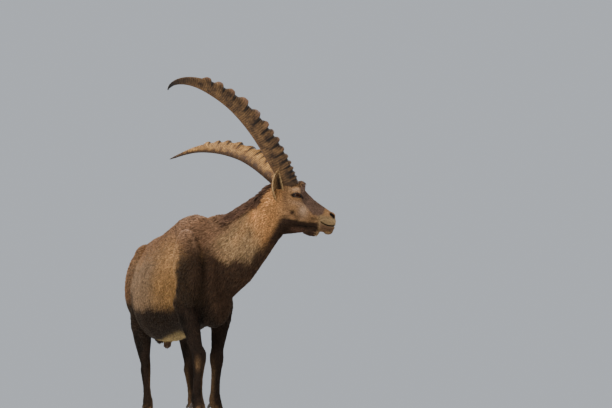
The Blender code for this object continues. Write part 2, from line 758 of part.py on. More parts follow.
def almond(side):
    """Lens-shaped opening between the lids."""
    eye = Vector(EYE_AT)
    ring_out, ring_in = [], []
    for i in range(16):
        angle = 2 * math.pi * i / 16
        u, v = math.cos(angle), math.sin(angle)
        high = EYE_OPENING[1] if v > 0 else EYE_OPENING[2]
        shape = (1 - abs(u) ** 2.2) ** 0.8 if abs(u) < 1 else 0.0
        x = u * EYE_OPENING[0]
        z = math.copysign(high * max(shape, 0.03), v if abs(v) > 0.01 else 1) - 0.0030 * u
        ring_out.append(head_frame() @ Vector((eye.x + x, (eye.y + 0.030) * side, eye.z + z)))
        ring_in.append(head_frame() @ Vector((eye.x + x * 0.8, (eye.y + 0.002) * side, eye.z + z * 0.8)))
    return loft("opening", [ring_in, ring_out])


def make_head():
    """Head with brows, lids, nostrils and mouth cut in, and pockets for eyes, horns and ears."""
    head = melt(merge_objects("head", [skull()] + head_swells()), 0.0030, 4, HEAD_FACES)
    turn = head_frame().to_3x3()
    rng = random.Random(7)
    lids = []
    for side in (-1, 1):
        lids.append(ellipsoid("lid", head_point(EYE_AT, side), (EYE_RADIUS + 0.0026,) * 3, turn, 2))
    for side in (-1, 1):
        boolean(head, ear_base("pocket", side, GAP), "DIFFERENCE")
    join_all(head, lids + head_locks(head, rng))
    for side in (-1, 1):
        boolean(head, almond(side), "DIFFERENCE")
        boolean(head, ellipsoid("socket", head_point(EYE_AT, side), (EYE_RADIUS + GAP * 3,) * 3, turn, 2),
                "DIFFERENCE")
        slope = Matrix.Rotation(math.radians(38), 3, "Y")
        tilt = turn @ slope @ Matrix.Rotation(math.radians(25 * side), 3, "Z")
        spot = (NOSTRIL_AT[0] + 0.004, NOSTRIL_AT[1] + 0.008, NOSTRIL_AT[2])
        boolean(head, ellipsoid("nostril", head_point(spot, side), (0.0115, 0.0125, 0.0060), tilt, 2),
                "DIFFERENCE")
        boolean(head, mouth_groove(side), "DIFFERENCE")
        boolean(head, horn("pocket", side, GAP), "DIFFERENCE")
    keep_largest(head)
    return head


def claw(name, foot, ahead, side):
    """One half of a cloven hoof: flat sole, curved outer wall, flat inner wall."""
    left = Vector((-ahead.y, ahead.x, 0.0))
    rings = []
    for height, shrink, back in ((0.0, 1.0, 0.0), (0.016, 0.95, -0.005), (0.048, 0.78, -0.022)):
        ring = []
        for i in range(14):
            angle = 2 * math.pi * i / 14
            u, v = math.cos(angle), math.sin(angle)
            x = u * HOOF_LENGTH / 2 * shrink
            toe = 1.0 - 0.45 * max(u, 0.0) ** 1.5
            y = v * HOOF_WIDTH / 2 * shrink * toe
            y = max(y, -HOOF_WIDTH / 2 * 0.55 * shrink)
            out = 0.0020 + HOOF_WIDTH / 2 * 0.55 + 0.05 * max(x, 0.0)
            spot = foot + ahead * (x + back + 0.014) + left * (side * (y + out))
            ring.append(spot + Vector((0, 0, height)))
        rings.append(ring)
    return loft(name, rings)


def coronet(foot, ahead):
    """Plane where the hoof meets the skin, higher in front."""
    normal = Vector((0, 0, 1)) - ahead * 0.32
    return foot + Vector((0, 0, CORONET_HEIGHT - 0.006)), normal.normalized()


def dewclaw(name, foot, ahead, across, grow):
    left = Vector((-ahead.y, ahead.x, 0.0))
    root = foot - ahead * 0.020 + left * (across * 0.012) + Vector((0, 0, 0.066))
    way = (-ahead * 0.75 + left * (across * 0.25) + Vector((0, 0, -0.62))).normalized()
    side = way.cross(Vector((0, 0, 1))).normalized()
    top = side.cross(way)
    rings = []
    for t, radius in ((-grow / 0.034, 0.0085), (0.55, 0.0078), (1.0, 0.0026)):
        ring = []
        for i in range(7):
            a = 2 * math.pi * i / 7
            out = side * math.cos(a) + top * math.sin(a)
            ring.append(root + way * (0.034 * t) + out * (radius + grow))
        rings.append(ring)
    return loft(name, rings)


def foot_of(leg, fore):
    if fore:
        return Vector((leg["hoof"][0], leg["hoof"][1], 0.0))
    return beside(leg["hoof"][0], leg["hoof"][1], 0.0)


def make_tail(torso):
    """Short tail hanging from the rump, with flat locks down its length."""
    root = beside(-0.775, 0.0, 0.772)
    _, angle = spine(-0.78)
    back = -Vector((math.cos(angle), math.sin(angle), 0.0))
    left = Vector((-math.sin(angle), math.cos(angle), 0.0))

    def tail_shell(grow, reach):
        rings = []
        for t in (0.0, 0.18, 0.36, 0.58, 0.80, 1.0):
            if t > reach:
                break
            spot = root + back * (0.048 * math.sin(1.7 * t)) - Vector((0, 0, TAIL_LENGTH * 0.9 * t * t))
            start = -grow if t == 0.0 else 0.0
            spot += back * start
            wide = 0.5 * blend((0.034, 0.036, 0.034, 0.028, 0.018), t) + grow
            thick = 0.5 * blend((0.030, 0.028, 0.024, 0.020, 0.012), t) + grow
            slope = math.atan2(TAIL_LENGTH * 1.8 * t, 0.082 * math.cos(1.7 * t))
            along = back * math.cos(slope) - Vector((0, 0, math.sin(slope)))
            out = left.cross(along)
            ring = [spot + left * (math.cos(2 * math.pi * i / 10) * wide)
                    + out * (math.sin(2 * math.pi * i / 10) * thick) for i in range(10)]
            rings.append(ring)
        return loft("tail", rings)

    tail = tail_shell(0.0, 1.0)
    rng = random.Random(3)
    locks = []
    for row in range(4):
        for k in (-1, 0, 1):
            t = 0.50 + 0.15 * row
            spot = root + back * (0.048 * math.sin(1.7 * t)) - Vector((0, 0, TAIL_LENGTH * 0.9 * t * t))
            spot += left * (k * 0.007)
            way = Vector((0, 0, -1)) + back * (0.25 - 0.2 * t) + left * (0.16 * k)
            locks.append(lock(spot, way, back, 0.048 + rng.uniform(-0.005, 0.006), 0.013, 0.006, -0.08))
    join_all(tail, locks)
    boolean(torso, tail_shell(GAP, 0.40), "DIFFERENCE")
    keep_largest(torso)
    return tail


def make_crest(neck_piece, rng):
    """Short overlapping locks along the nape, from behind the horns to the middle of the neck."""
    locks = []
    for i in range(CREST_ROWS):
        at = 2.3 + 2.0 * i / (CREST_ROWS - 1)
        k = int(at)
        centre = Vector(NECK[k][0]).lerp(Vector(NECK[k + 1][0]), at - k)
        along = (Vector(NECK[k + 1][0]) - Vector(NECK[k][0])).normalized()
        left = Vector((0, 0, 1)).cross(along).normalized()
        up = along.cross(left)
        for side in (-1, 0, 1):
            start = centre + up * 0.4 + left * (side * 0.021 + rng.uniform(-0.004, 0.004))
            spot, normal = surface_hit(neck_piece, start, -up)
            if spot is None:
                continue
            way = (-along + up * 0.46 + left * (0.20 * side)).normalized()
            long = 0.054 + rng.uniform(-0.006, 0.008)
            locks.append(lock(spot - way * 0.012, way, normal, long, 0.024, 0.009, -0.26))
    return locks


def build():
    clear_scene()
    nodes = []
    body = flesh()
    head = make_head()
    turn = head_frame().to_3x3()

    # The neck meets the head behind the jaw, and the chest in front of the shoulders
    joint = head_point((-0.072, 0.0, -0.10))
    facing = turn @ Vector((0.93, 0.0, 0.36))
    base_at = Vector((0.135, 0.055, 0.700))
    base_way = Vector((0.70, 0.45, 0.56)).normalized()
    boolean(head, wedge([(joint + facing * GAP, -facing)]), "INTERSECT")
    keep_largest(head)
    nodes.append((head, "head_coat"))
    neck_piece = split_off(body, "neck", [(base_at, -base_way)])
    join_all(neck_piece, make_crest(neck_piece, random.Random(11)))
    boolean(neck_piece, wedge([(joint, facing)]), "INTERSECT")
    keep_largest(neck_piece)
    nodes.append((neck_piece, "coat"))

    for kind, legs in (("fore", FORE_LEGS), ("hind", HIND_LEGS)):
        for name, leg in legs.items():
            side = leg["side"]
            turned = math.radians(leg["heading"])
            ahead = Vector((math.cos(turned), math.sin(turned), 0.0))
            foot = foot_of(leg, kind == "fore")
            if kind == "fore":
                top = beside(leg["elbow"][0] + 0.03, side * 0.060, 0.415)
                behind = beside(leg["elbow"][0] - 0.062, 0, 0.42)
                planes = [(top, Vector((0.0, -0.50 * side, 1.0)).normalized()),
                          (beside(leg["elbow"][0], 0.018, 0.3), Vector((0.0, -side, 0.0))),
                          (behind, Vector((-1.0, 0.0, 0.35)).normalized())]
                joint_at = CARPUS_HEIGHT - 0.030
            else:
                top = beside(leg["stifle"][0], side * 0.040, 0.440)
                before = beside(leg["stifle"][0] + 0.062, 0, 0.46)
                planes = [(top, Vector((0.0, -1.90 * side, 1.0)).normalized()),
                          (beside(leg["hoof"][0], 0.034, 0.3), Vector((0.0, -side, 0.0))),
                          (before, Vector((1.0, 0.0, 0.20)).normalized())]
                joint_at = HOCK_HEIGHT - 0.026
            upper = split_off(body, kind + "_leg_" + name, planes)
            level = foot + Vector((0, 0, joint_at))
            lower = split_off(upper, kind + "_cannon_" + name, [(level, Vector((0, 0, 1)))])
            spot, normal = coronet(foot, ahead)
            boolean(lower, wedge([(spot + normal * GAP, -normal)]), "INTERSECT")
            keep_largest(lower)
            for across, place in ((-1, "outer" if side < 0 else "inner"),
                                  (1, "inner" if side < 0 else "outer")):
                toe = claw(kind + "_hoof_" + name + "_" + place, foot, ahead, across)
                boolean(toe, wedge([(spot, normal)]), "INTERSECT")
                nodes.append((toe, "hoof"))
                spur = dewclaw(kind + "_dewclaw_" + name + "_" + place, foot, ahead, across, 0.0)
                boolean(lower, dewclaw("pocket", foot, ahead, across, GAP), "DIFFERENCE")
                nodes.append((spur, "hoof"))
            keep_largest(lower)
            nodes.append((upper, "leg_coat"))
            nodes.append((lower, "leg_coat"))

    tail = make_tail(body)
    nodes.append((tail, "tail_coat"))
    nodes.append((body, "coat"))

    for side, name in ((1, "left"), (-1, "right")):
        nodes.append((horn("horn_" + name, side), "horn"))
        eye = ellipsoid("eye_" + name, head_point(EYE_AT, side), (EYE_RADIUS,) * 3, turn, 2)
        nodes.append((eye, "eye"))
        cup = ear("ear_" + name, side)
        join_all(cup, [ear_base("stalk", side, 0.0)])
        boolean(cup, wedge([(joint + facing * GAP, -facing)]), "INTERSECT")
        boolean(cup, copy_of(head, "clear"), "DIFFERENCE")
        keep_largest(cup)
        nodes.append((cup, "ear_coat"))

    origin = bpy.data.objects.new("origin", None)
    bpy.context.scene.collection.objects.link(origin)
    corners = []
    for thing, slot in nodes:
        finish(thing, slot)
        thing.parent = origin
        corners += [vert.co for vert in thing.data.vertices]
    # The model's origin is on the floor, under the middle of its bounding box
    low = [min(corner[i] for corner in corners) for i in range(3)]
    high = [max(corner[i] for corner in corners) for i in range(3)]
    origin.location = [-(low[0] + high[0]) / 2, -(low[1] + high[1]) / 2, -low[2]]
    return [thing for thing, _ in nodes]


parts = build()
for part in parts:
    print(part.name, sum(len(face.vertices) - 2 for face in part.data.polygons))
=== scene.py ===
# Alpine ibex, an adult male in its short summer coat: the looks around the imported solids.
# Places are in metres. Trunk coordinates are the builder's own, before the frame's shift.

import json
import math

import bmesh
import bpy
import numpy as np
from mathutils import Matrix, Vector

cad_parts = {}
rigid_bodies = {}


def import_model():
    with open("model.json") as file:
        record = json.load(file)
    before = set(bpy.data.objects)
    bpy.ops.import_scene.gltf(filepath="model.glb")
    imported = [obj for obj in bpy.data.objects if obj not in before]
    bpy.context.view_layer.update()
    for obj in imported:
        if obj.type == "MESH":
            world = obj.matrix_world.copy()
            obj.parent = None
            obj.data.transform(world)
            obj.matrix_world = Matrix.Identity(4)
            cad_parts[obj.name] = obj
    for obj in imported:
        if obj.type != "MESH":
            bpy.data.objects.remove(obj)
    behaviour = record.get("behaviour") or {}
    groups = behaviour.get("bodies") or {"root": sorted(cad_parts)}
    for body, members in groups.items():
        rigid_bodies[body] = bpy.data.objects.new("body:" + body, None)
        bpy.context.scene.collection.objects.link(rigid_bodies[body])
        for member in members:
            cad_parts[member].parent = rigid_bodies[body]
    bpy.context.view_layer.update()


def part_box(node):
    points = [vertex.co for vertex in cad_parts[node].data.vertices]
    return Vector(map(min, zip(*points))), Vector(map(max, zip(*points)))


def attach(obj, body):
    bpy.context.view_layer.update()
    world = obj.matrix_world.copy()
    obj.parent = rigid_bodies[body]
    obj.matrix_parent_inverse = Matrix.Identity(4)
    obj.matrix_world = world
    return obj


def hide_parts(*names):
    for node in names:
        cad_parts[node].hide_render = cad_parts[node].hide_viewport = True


for old in list(bpy.data.objects):
    bpy.data.objects.remove(old, do_unlink=True)

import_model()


def turnBy(degrees, axis):
    return Matrix.Rotation(math.radians(degrees), 3, axis)


# The head's place and turn, which all of its pieces share
headSetting = {
    "at": (0.357, 0.297, 0.977),
    "heading": 74.3,
    "nod": 2.9,
    "tilt": -5.8,
    "eyeAt": (0.036, 0.0555, -0.067),
}
headTurn = (turnBy(headSetting["heading"], "Z") @ turnBy(headSetting["nod"], "Y")
            @ turnBy(headSetting["tilt"], "X"))


def boxMiddle(name):
    low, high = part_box(name)
    return (Vector(low) + Vector(high)) / 2


betweenEyes = (boxMiddle("eye_left") + boxMiddle("eye_right")) / 2
headAt = betweenEyes - headTurn @ Vector((headSetting["eyeAt"][0], 0, headSetting["eyeAt"][2]))
shift = headAt - Vector(headSetting["at"])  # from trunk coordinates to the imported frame
headTurnArray, headAtArray, shiftArray = np.array(headTurn), np.array(headAt), np.array(shift)
print("shift", [round(v, 5) for v in shift])


def placed(spot, side=1):  # from the head's own coordinates to the frame
    return headAt + headTurn @ Vector((spot[0], spot[1] * side, spot[2]))


def toHead(points):
    return (points - headAtArray) @ headTurnArray  # rows times the turn give its inverse


# Small helpers for numbers and points

def linear(red, green, blue):  # from display values to the values that Blender mixes
    out = []
    for value in (red, green, blue):
        value /= 255
        out.append(value / 12.92 if value <= 0.04045 else ((value + 0.055) / 1.055) ** 2.4)
    return np.array(out)


def ease(low, high, value):
    t = np.clip((value - low) / (high - low), 0.0, 1.0)
    return t * t * (3 - 2 * t)


def smoothAt(values, t):  # a smooth curve through evenly spaced values
    at = min(max(t, 0.0), 1.0) * (len(values) - 1)
    i = min(int(at), len(values) - 2)
    u = at - i
    p0, p1, p2 = values[max(i - 1, 0)], values[i], values[i + 1]
    p3 = values[min(i + 2, len(values) - 1)]
    return p1 + 0.5 * u * (p2 - p0 + u * (2 * p0 - 5 * p1 + 4 * p2 - p3 + u * (3 * (p1 - p2) + p3 - p0)))


def blob(points, centre, radii):
    d = (points - np.array(centre)) / np.array(radii)
    return np.exp(-np.sum(d * d, axis=1))


def circle(count):
    return [(math.cos(2 * math.pi * i / count), math.sin(2 * math.pi * i / count)) for i in range(count)]


def superellipse(c, s, power):
    return math.copysign(abs(c) ** (2 / power), c), math.copysign(abs(s) ** (2 / power), s)


def ovalRing(spot, across, high, wide, tall, count):
    return [spot + across * (c * wide) + high * (s * tall) for c, s in circle(count)]


def facing(degrees):
    return Vector((math.cos(math.radians(degrees)), math.sin(math.radians(degrees)), 0.0))


def leftOf(degrees):
    return Vector((-math.sin(math.radians(degrees)), math.cos(math.radians(degrees)), 0.0))


def rise(height):
    return Vector((0, 0, height))


# Small helpers for meshes

def newPiece(name, mesh):
    piece = bpy.data.objects.new(name, mesh)
    bpy.context.scene.collection.objects.link(piece)
    return piece


def fromBmesh(name, bm):
    bmesh.ops.recalc_face_normals(bm, faces=bm.faces)
    mesh = bpy.data.meshes.new(name)
    bm.to_mesh(mesh)
    bm.free()
    mesh.shade_smooth()
    return newPiece(name, mesh)


def loftInto(bm, rings, closeEnds=True):
    rows = [[bm.verts.new(point) for point in ring] for ring in rings]
    for low, high in zip(rows, rows[1:]):
        for i in range(len(low)):
            k = (i + 1) % len(low)
            bm.faces.new((low[i], low[k], high[k], high[i]))
    if closeEnds:
        bm.faces.new(list(reversed(rows[0])))
        bm.faces.new(rows[-1])
    return rows


def fanTo(bm, row, point):
    tip = bm.verts.new(point)
    for i in range(len(row)):
        bm.faces.new((row[i], row[(i + 1) % len(row)], tip))


def splitCaps(bm):
    bmesh.ops.triangulate(bm, faces=[face for face in bm.faces if len(face.verts) > 4])


def loft(name, rings):
    bm = bmesh.new()
    loftInto(bm, rings)
    return fromBmesh(name, bm)


def ellipsoidInto(bm, centre, radii, turn=Matrix.Identity(3), steps=5):
    for vert in bmesh.ops.create_icosphere(bm, subdivisions=steps, radius=1.0)["verts"]:
        vert.co = Vector(centre) + turn @ Vector([vert.co[i] * radii[i] for i in range(3)])


def applied(piece):
    bpy.context.view_layer.update()
    seen = piece.evaluated_get(bpy.context.evaluated_depsgraph_get())
    mesh = bpy.data.meshes.new_from_object(seen)
    piece.modifiers.clear()
    before = piece.data
    piece.data = mesh
    if before.users == 0:
        bpy.data.meshes.remove(before)
    return piece


def pointsOf(mesh):
    flat = np.empty(len(mesh.vertices) * 3)
    mesh.vertices.foreach_get("co", flat)
    return flat.reshape(-1, 3)


def normalsOf(mesh):
    flat = np.empty(len(mesh.vertices) * 3)
    mesh.vertex_normals.foreach_get("vector", flat)
    return flat.reshape(-1, 3)


def setPoints(mesh, points):
    mesh.vertices.foreach_set("co", points.ravel())
    mesh.update()


def setAttribute(mesh, name, kind, values):
    dropAttributes(mesh, name)
    made = mesh.attributes.new(name, kind, "POINT")
    field = {"FLOAT": "value", "FLOAT_VECTOR": "vector", "FLOAT_COLOR": "color"}[kind]
    if kind == "FLOAT_COLOR":
        values = np.concatenate([values, np.ones((len(values), 1))], axis=1)
    made.data.foreach_set(field, np.ascontiguousarray(values, dtype=np.float32).ravel())


def dropAttributes(mesh, *names):
    for name in names:
        if mesh.attributes.get(name):
            mesh.attributes.remove(mesh.attributes[name])


def weightGroup(piece, name, weights, levels=24):
    group = piece.vertex_groups.new(name=name)
    steps = np.round(np.clip(weights, 0, 1) * levels).astype(int)
    for step in range(1, levels + 1):
        chosen = np.nonzero(steps == step)[0]
        if len(chosen):
            group.add(chosen.tolist(), step / levels, "REPLACE")


def keepLargest(mesh):  # of the mesh's separate shells
    bm = bmesh.new()
    bm.from_mesh(mesh)
    left, shells = set(bm.faces), []
    while left:
        start = left.pop()
        shell, queue = [start], [start]
        while queue:
            for edge in queue.pop().edges:
                for face in edge.link_faces:
                    if face in left:
                        left.remove(face)
                        shell.append(face)
                        queue.append(face)
        shells.append(shell)
    shells.sort(key=len, reverse=True)
    if len(shells) > 1:
        for shell in shells[1:]:
            bmesh.ops.delete(bm, geom=shell, context="FACES")
        bmesh.ops.delete(bm, geom=[v for v in bm.verts if not v.link_faces], context="VERTS")
        bm.to_mesh(mesh)
    bm.free()


def unwrap(piece):
    piece.data.uv_layers.new(name="OFBake")
    bpy.context.view_layer.objects.active = piece
    piece.select_set(True)
    bpy.ops.object.mode_set(mode="EDIT")
    bpy.ops.mesh.select_all(action="SELECT")
    bpy.ops.uv.smart_project(angle_limit=math.radians(66), island_margin=0.002)
    bpy.ops.object.mode_set(mode="OBJECT")
    piece.select_set(False)


# The body's forms, from the same values as the solids, in trunk coordinates.
# Trunk: place along the spine, heading, top, underside, half width, squareness
trunkRows = [
    (-0.795, -7, 0.735, 0.605, 0.040, 2.0),
    (-0.765, -7, 0.790, 0.545, 0.085, 2.0),
    (-0.700, -7, 0.838, 0.488, 0.122, 2.1),
    (-0.600, -6, 0.862, 0.438, 0.138, 2.1),
    (-0.500, -5, 0.860, 0.378, 0.142, 2.2),
    (-0.390, -4, 0.850, 0.352, 0.152, 2.3),
    (-0.270, -2, 0.846, 0.346, 0.156, 2.3),
    (-0.150, 1, 0.862, 0.356, 0.148, 2.2),
    (-0.050, 4, 0.884, 0.370, 0.134, 2.1),
    (0.040, 7, 0.880, 0.376, 0.122, 2.1),
    (0.130, 10, 0.850, 0.392, 0.108, 2.0),
    (0.200, 13, 0.790, 0.430, 0.082, 2.0),
    (0.245, 15, 0.710, 0.500, 0.045, 2.0),
]
# Neck: centre, half width, half depth
neckRows = [
    ((0.020, 0.000, 0.640), 0.100, 0.190),
    ((0.115, 0.038, 0.645), 0.098, 0.190),
    ((0.202, 0.105, 0.704), 0.088, 0.158),
    ((0.266, 0.170, 0.778), 0.076, 0.122),
    ((0.312, 0.228, 0.846), 0.063, 0.100),
    ((0.345, 0.275, 0.892), 0.057, 0.092),
]
# Skull, in the head's coordinates: place ahead, top, underside, half width, level of the widest line
skullRows = [
    (-0.125, -0.066, -0.232, 0.046, 0.55),
    (-0.100, -0.036, -0.246, 0.070, 0.56),
    (-0.074, -0.014, -0.240, 0.073, 0.58),
    (-0.040, 0.000, -0.224, 0.069, 0.62),
    (0.000, 0.006, -0.217, 0.070, 0.66),
    (0.035, 0.000, -0.211, 0.067, 0.70),
    (0.062, -0.012, -0.206, 0.059, 0.70),
    (0.088, -0.037, -0.201, 0.049, 0.66),
    (0.115, -0.060, -0.197, 0.041, 0.60),
    (0.145, -0.079, -0.195, 0.036, 0.55),
    (0.170, -0.094, -0.199, 0.034, 0.50),
    (0.188, -0.105, -0.198, 0.032, 0.48),
    (0.203, -0.118, -0.188, 0.026, 0.52),
    (0.211, -0.134, -0.170, 0.015, 0.55),
]
# Swellings of the head, on both sides and on its middle: centre, radii
pairedForms = [
    ((0.034, 0.052, -0.047), (0.036, 0.021, 0.018)),  # brow
    ((0.036, 0.049, -0.069), (0.032, 0.022, 0.026)),  # round the eye
    ((-0.004, 0.030, -0.135), (0.062, 0.029, 0.064)),  # jaw muscle
    ((0.190, 0.020, -0.130), (0.018, 0.014, 0.017)),  # nostril
    ((0.172, 0.021, -0.152), (0.040, 0.014, 0.013)),  # upper lip
    ((0.160, 0.018, -0.178), (0.040, 0.013, 0.013)),  # lower lip
]
middleForms = [
    ((0.181, 0.0, -0.189), (0.021, 0.022, 0.017)),  # chin
    ((0.006, 0.0, -0.012), (0.052, 0.060, 0.034)),  # under the horns
    ((0.050, 0.0, -0.008), (0.028, 0.034, 0.024)),  # forelock
    ((-0.050, 0.0, -0.180), (0.050, 0.044, 0.070)),  # throat
    ((0.112, 0.0, -0.194), (0.034, 0.021, 0.017)),  # beard
]
legs = {
    ("fore", "right"): {"side": -1, "hoof": (0.208, -0.028), "elbow": (0.098, -0.084), "heading": 12},
    ("fore", "left"): {"side": 1, "hoof": (0.108, 0.082), "elbow": (0.035, 0.120), "heading": 8},
    ("hind", "right"): {"side": -1, "hoof": (-0.608, -0.032), "hock": (-0.676, -0.038),
                        "stifle": (-0.575, -0.080), "hip": (-0.630, -0.068), "heading": -8},
    ("hind", "left"): {"side": 1, "hoof": (-0.462, 0.158), "hock": (-0.545, 0.150),
                       "stifle": (-0.500, 0.138), "hip": (-0.620, 0.086), "heading": 2},
}
legHeights = {"hip": 0.640, "elbow": 0.470, "stifle": 0.440, "carpus": 0.250, "hock": 0.232,
              "fetlock": 0.082, "coronet": 0.036}


def headingAt(at):
    for near, far in zip(trunkRows, trunkRows[1:]):
        if at <= far[0]:
            return near[1] + (far[1] - near[1]) * max(0.0, (at - near[0]) / (far[0] - near[0]))
    return trunkRows[-1][1]


def spine(at, steps=60):  # the place on the ground line, and the heading there
    spot = Vector((0.0, 0.0, 0.0))
    for i in range(steps):
        spot += facing(headingAt((i + 0.5) / steps * at)) * (at / steps)
    return spot, headingAt(at)


def beside(at, sideways, height):
    spot, heading = spine(at)
    return spot + leftOf(heading) * sideways + rise(height)


def trunkRings():
    rings = []
    for at, heading, top, low, half, power in trunkRows:
        spot, left = shift + spine(at)[0], leftOf(heading)
        belly = low + (top - low) * 0.44
        ring = []
        for c, s in circle(56):
            across, up = superellipse(c, s, power)
            tall = (top - belly) if up > 0 else (belly - low)
            ring.append(spot + left * (across * half * (1.0 - 0.16 * max(up, 0.0))) + rise(belly + up * tall))
        rings.append(ring)
    return rings


def neckRings():
    rings = []
    centres = [Vector(row[0]) for row in neckRows]
    for i, (centre, wide, deep) in enumerate(neckRows):
        along = (centres[min(i + 1, len(centres) - 1)] - centres[max(i - 1, 0)]).normalized()
        left = Vector((0, 0, 1)).cross(along).normalized()
        rings.append([shift + Vector(centre) + left * (c * wide * (1.0 - 0.22 * max(s, 0.0)))
                      + along.cross(left) * (s * deep) for c, s in circle(48)])
    return rings


def skullRings():
    rings = []
    for ahead, top, low, half, level in skullRows:
        mid = low + (top - low) * level
        ring = []
        for c, s in circle(40):
            across, high = superellipse(c, s, 2.2)
            tall = (top - mid) if high > 0 else (mid - low)
            ring.append(placed((ahead, across * half * (1.0 - 0.34 * max(-high, 0.0)), mid + high * tall)))
        rings.append(ring)
    return rings


def footOf(kind, leg):
    return Vector((*leg["hoof"], 0.0)) if kind == "fore" else beside(*leg["hoof"], 0.0)


def legRows(kind, leg):  # centre, half length ahead, half width, from the top down
    foot, ahead = footOf(kind, leg), facing(leg["heading"])
    fetlock = foot - ahead * 0.018 + rise(legHeights["fetlock"])
    joint = {part: beside(*leg[part], legHeights[part]) for part in legHeights if part in leg}
    if kind == "fore":
        elbow, carpus = joint["elbow"], foot - ahead * 0.006 + rise(legHeights["carpus"])
        girths = (0.027, 0.027), (0.024, 0.026), (0.027, 0.029), (0.024, 0.026)
        rows = [
            (elbow + Vector((0.055, -0.030 * leg["side"], 0.130)), 0.075, 0.045),
            (elbow + Vector((0.010, 0, 0.010)), 0.066, 0.046),
            (elbow.lerp(carpus, 0.22) + ahead * 0.012, 0.050, 0.040),
            (elbow.lerp(carpus, 0.50) + ahead * 0.006, 0.038, 0.033),
            (elbow.lerp(carpus, 0.80), 0.028, 0.026),
            (carpus + rise(0.014), 0.030, 0.030),
            (carpus - rise(0.012), 0.029, 0.029),
            (carpus - rise(0.040), 0.024, 0.023),
            (carpus.lerp(fetlock, 0.50), 0.021, 0.020),
            (carpus.lerp(fetlock, 0.82), 0.022, 0.021),
        ]
    else:
        hip, stifle, hock = joint["hip"], joint["stifle"], joint["hock"]
        girths = (0.026, 0.025), (0.023, 0.025), (0.026, 0.028), (0.023, 0.025)
        rows = [
            (hip, 0.120, 0.062),
            (hip.lerp(stifle, 0.55) - ahead * 0.020, 0.112, 0.055),
            (stifle - ahead * 0.024, 0.098, 0.046),
            (stifle.lerp(hock, 0.35) - ahead * 0.014, 0.070, 0.039),
            (stifle.lerp(hock, 0.70) - ahead * 0.006, 0.043, 0.027),
            (hock + ahead * 0.004 + rise(0.022), 0.032, 0.023),
            (hock - ahead * 0.002, 0.033, 0.025),
            (hock.lerp(fetlock, 0.22), 0.026, 0.022),
            (hock.lerp(fetlock, 0.55), 0.020, 0.018),
            (hock.lerp(fetlock, 0.85), 0.021, 0.020),
        ]
    spots = [fetlock] + [foot + ahead * push + rise(height)
                         for push, height in ((0.002, 0.052), (0.010, 0.024), (0.014, 0.008))]
    return rows + [(spot, *girth) for spot, girth in zip(spots, girths)]


def limbRings(rows, heading):
    rings = []
    for i, (spot, along, across) in enumerate(rows):
        run = (rows[min(i + 1, len(rows) - 1)][0] - rows[max(i - 1, 0)][0]).normalized()
        side = run.cross(facing(heading)).normalized()
        rings.append(ovalRing(shift + spot, side.cross(run).normalized(), side, along, across, 28))
    return rings


def bodyForms(bm):
    for side, name in ((-1, "right"), (1, "left")):
        elbow = legs["fore", name]["elbow"][0]
        for at, out, high, radii, lean in (
                (elbow + 0.030, 0.088, 0.640, (0.105, 0.052, 0.165), -24),  # shoulder
                (elbow + 0.050, 0.092, 0.540, (0.085, 0.048, 0.085), 0),  # upper arm
                (-0.630, 0.084, 0.640, (0.118, 0.068, 0.165), 14),  # thigh
                (-0.560, 0.070, 0.775, (0.110, 0.050, 0.052), 0)):  # hip
            ellipsoidInto(bm, shift + beside(at, side * out, high), radii, turnBy(lean, "Y"))
    ellipsoidInto(bm, shift + beside(0.160, 0.020, 0.482), (0.080, 0.078, 0.102))  # brisket
    ellipsoidInto(bm, shift + beside(-0.345, 0.0, 0.340), (0.040, 0.016, 0.022))  # sheath
    ellipsoidInto(bm, shift + Vector((0.130, 0.066, 0.792)), (0.115, 0.052, 0.072), turnBy(30, "Z"))
    ellipsoidInto(bm, shift + beside(-0.620, 0.018, 0.410), (0.034, 0.034, 0.055))
    loftInto(bm, trunkRings())
    loftInto(bm, neckRings())
    for (kind, _), leg in legs.items():
        loftInto(bm, limbRings(legRows(kind, leg), leg["heading"]))


def headForms(bm):
    loftInto(bm, skullRings())
    for side in (-1, 1):
        for spot, radii in pairedForms:
            ellipsoidInto(bm, placed(spot, side), radii, headTurn, 4)
    for spot, radii in middleForms:
        ellipsoidInto(bm, placed(spot), radii, headTurn, 4)
    for side in (-1, 1):  # the fleshy roots of the ears
        spot = Vector(earSetting["root"]) + earAxis * 0.010 + Vector((-0.006, -0.006, 0.0))
        ellipsoidInto(bm, placed(spot, side), (0.015, 0.015, 0.030), headTurn, 4)


# Where a point lies on the body, for the coat's depth, markings and lie

def bodySpace(points):
    local = points - shiftArray
    at = np.linspace(-0.86, 0.30, 80)
    line = np.array([spine(a)[0][:2] for a in at])
    along = np.interp(local[:, 0], line[:, 0], at)
    middle = np.interp(local[:, 0], line[:, 0], line[:, 1])
    rows = np.array([row[:5] for row in trunkRows])
    top, low = (np.interp(along, rows[:, 0], rows[:, k]) for k in (2, 3))
    return along, local[:, 1] - middle, (local[:, 2] - low) / (top - low), local


def legDistance(points):
    local = points - shiftArray
    nearest = np.full(len(points), 9.0)
    for (kind, _), leg in legs.items():
        path = np.array([list(row[0]) for row in legRows(kind, leg)[2:]])
        for a, b in zip(path, path[1:]):
            run = b - a
            t = np.clip(((local - a) @ run) / (run @ run), 0, 1)
            nearest = np.minimum(nearest, np.linalg.norm(local - a - t[:, None] * run, axis=1))
    return nearest


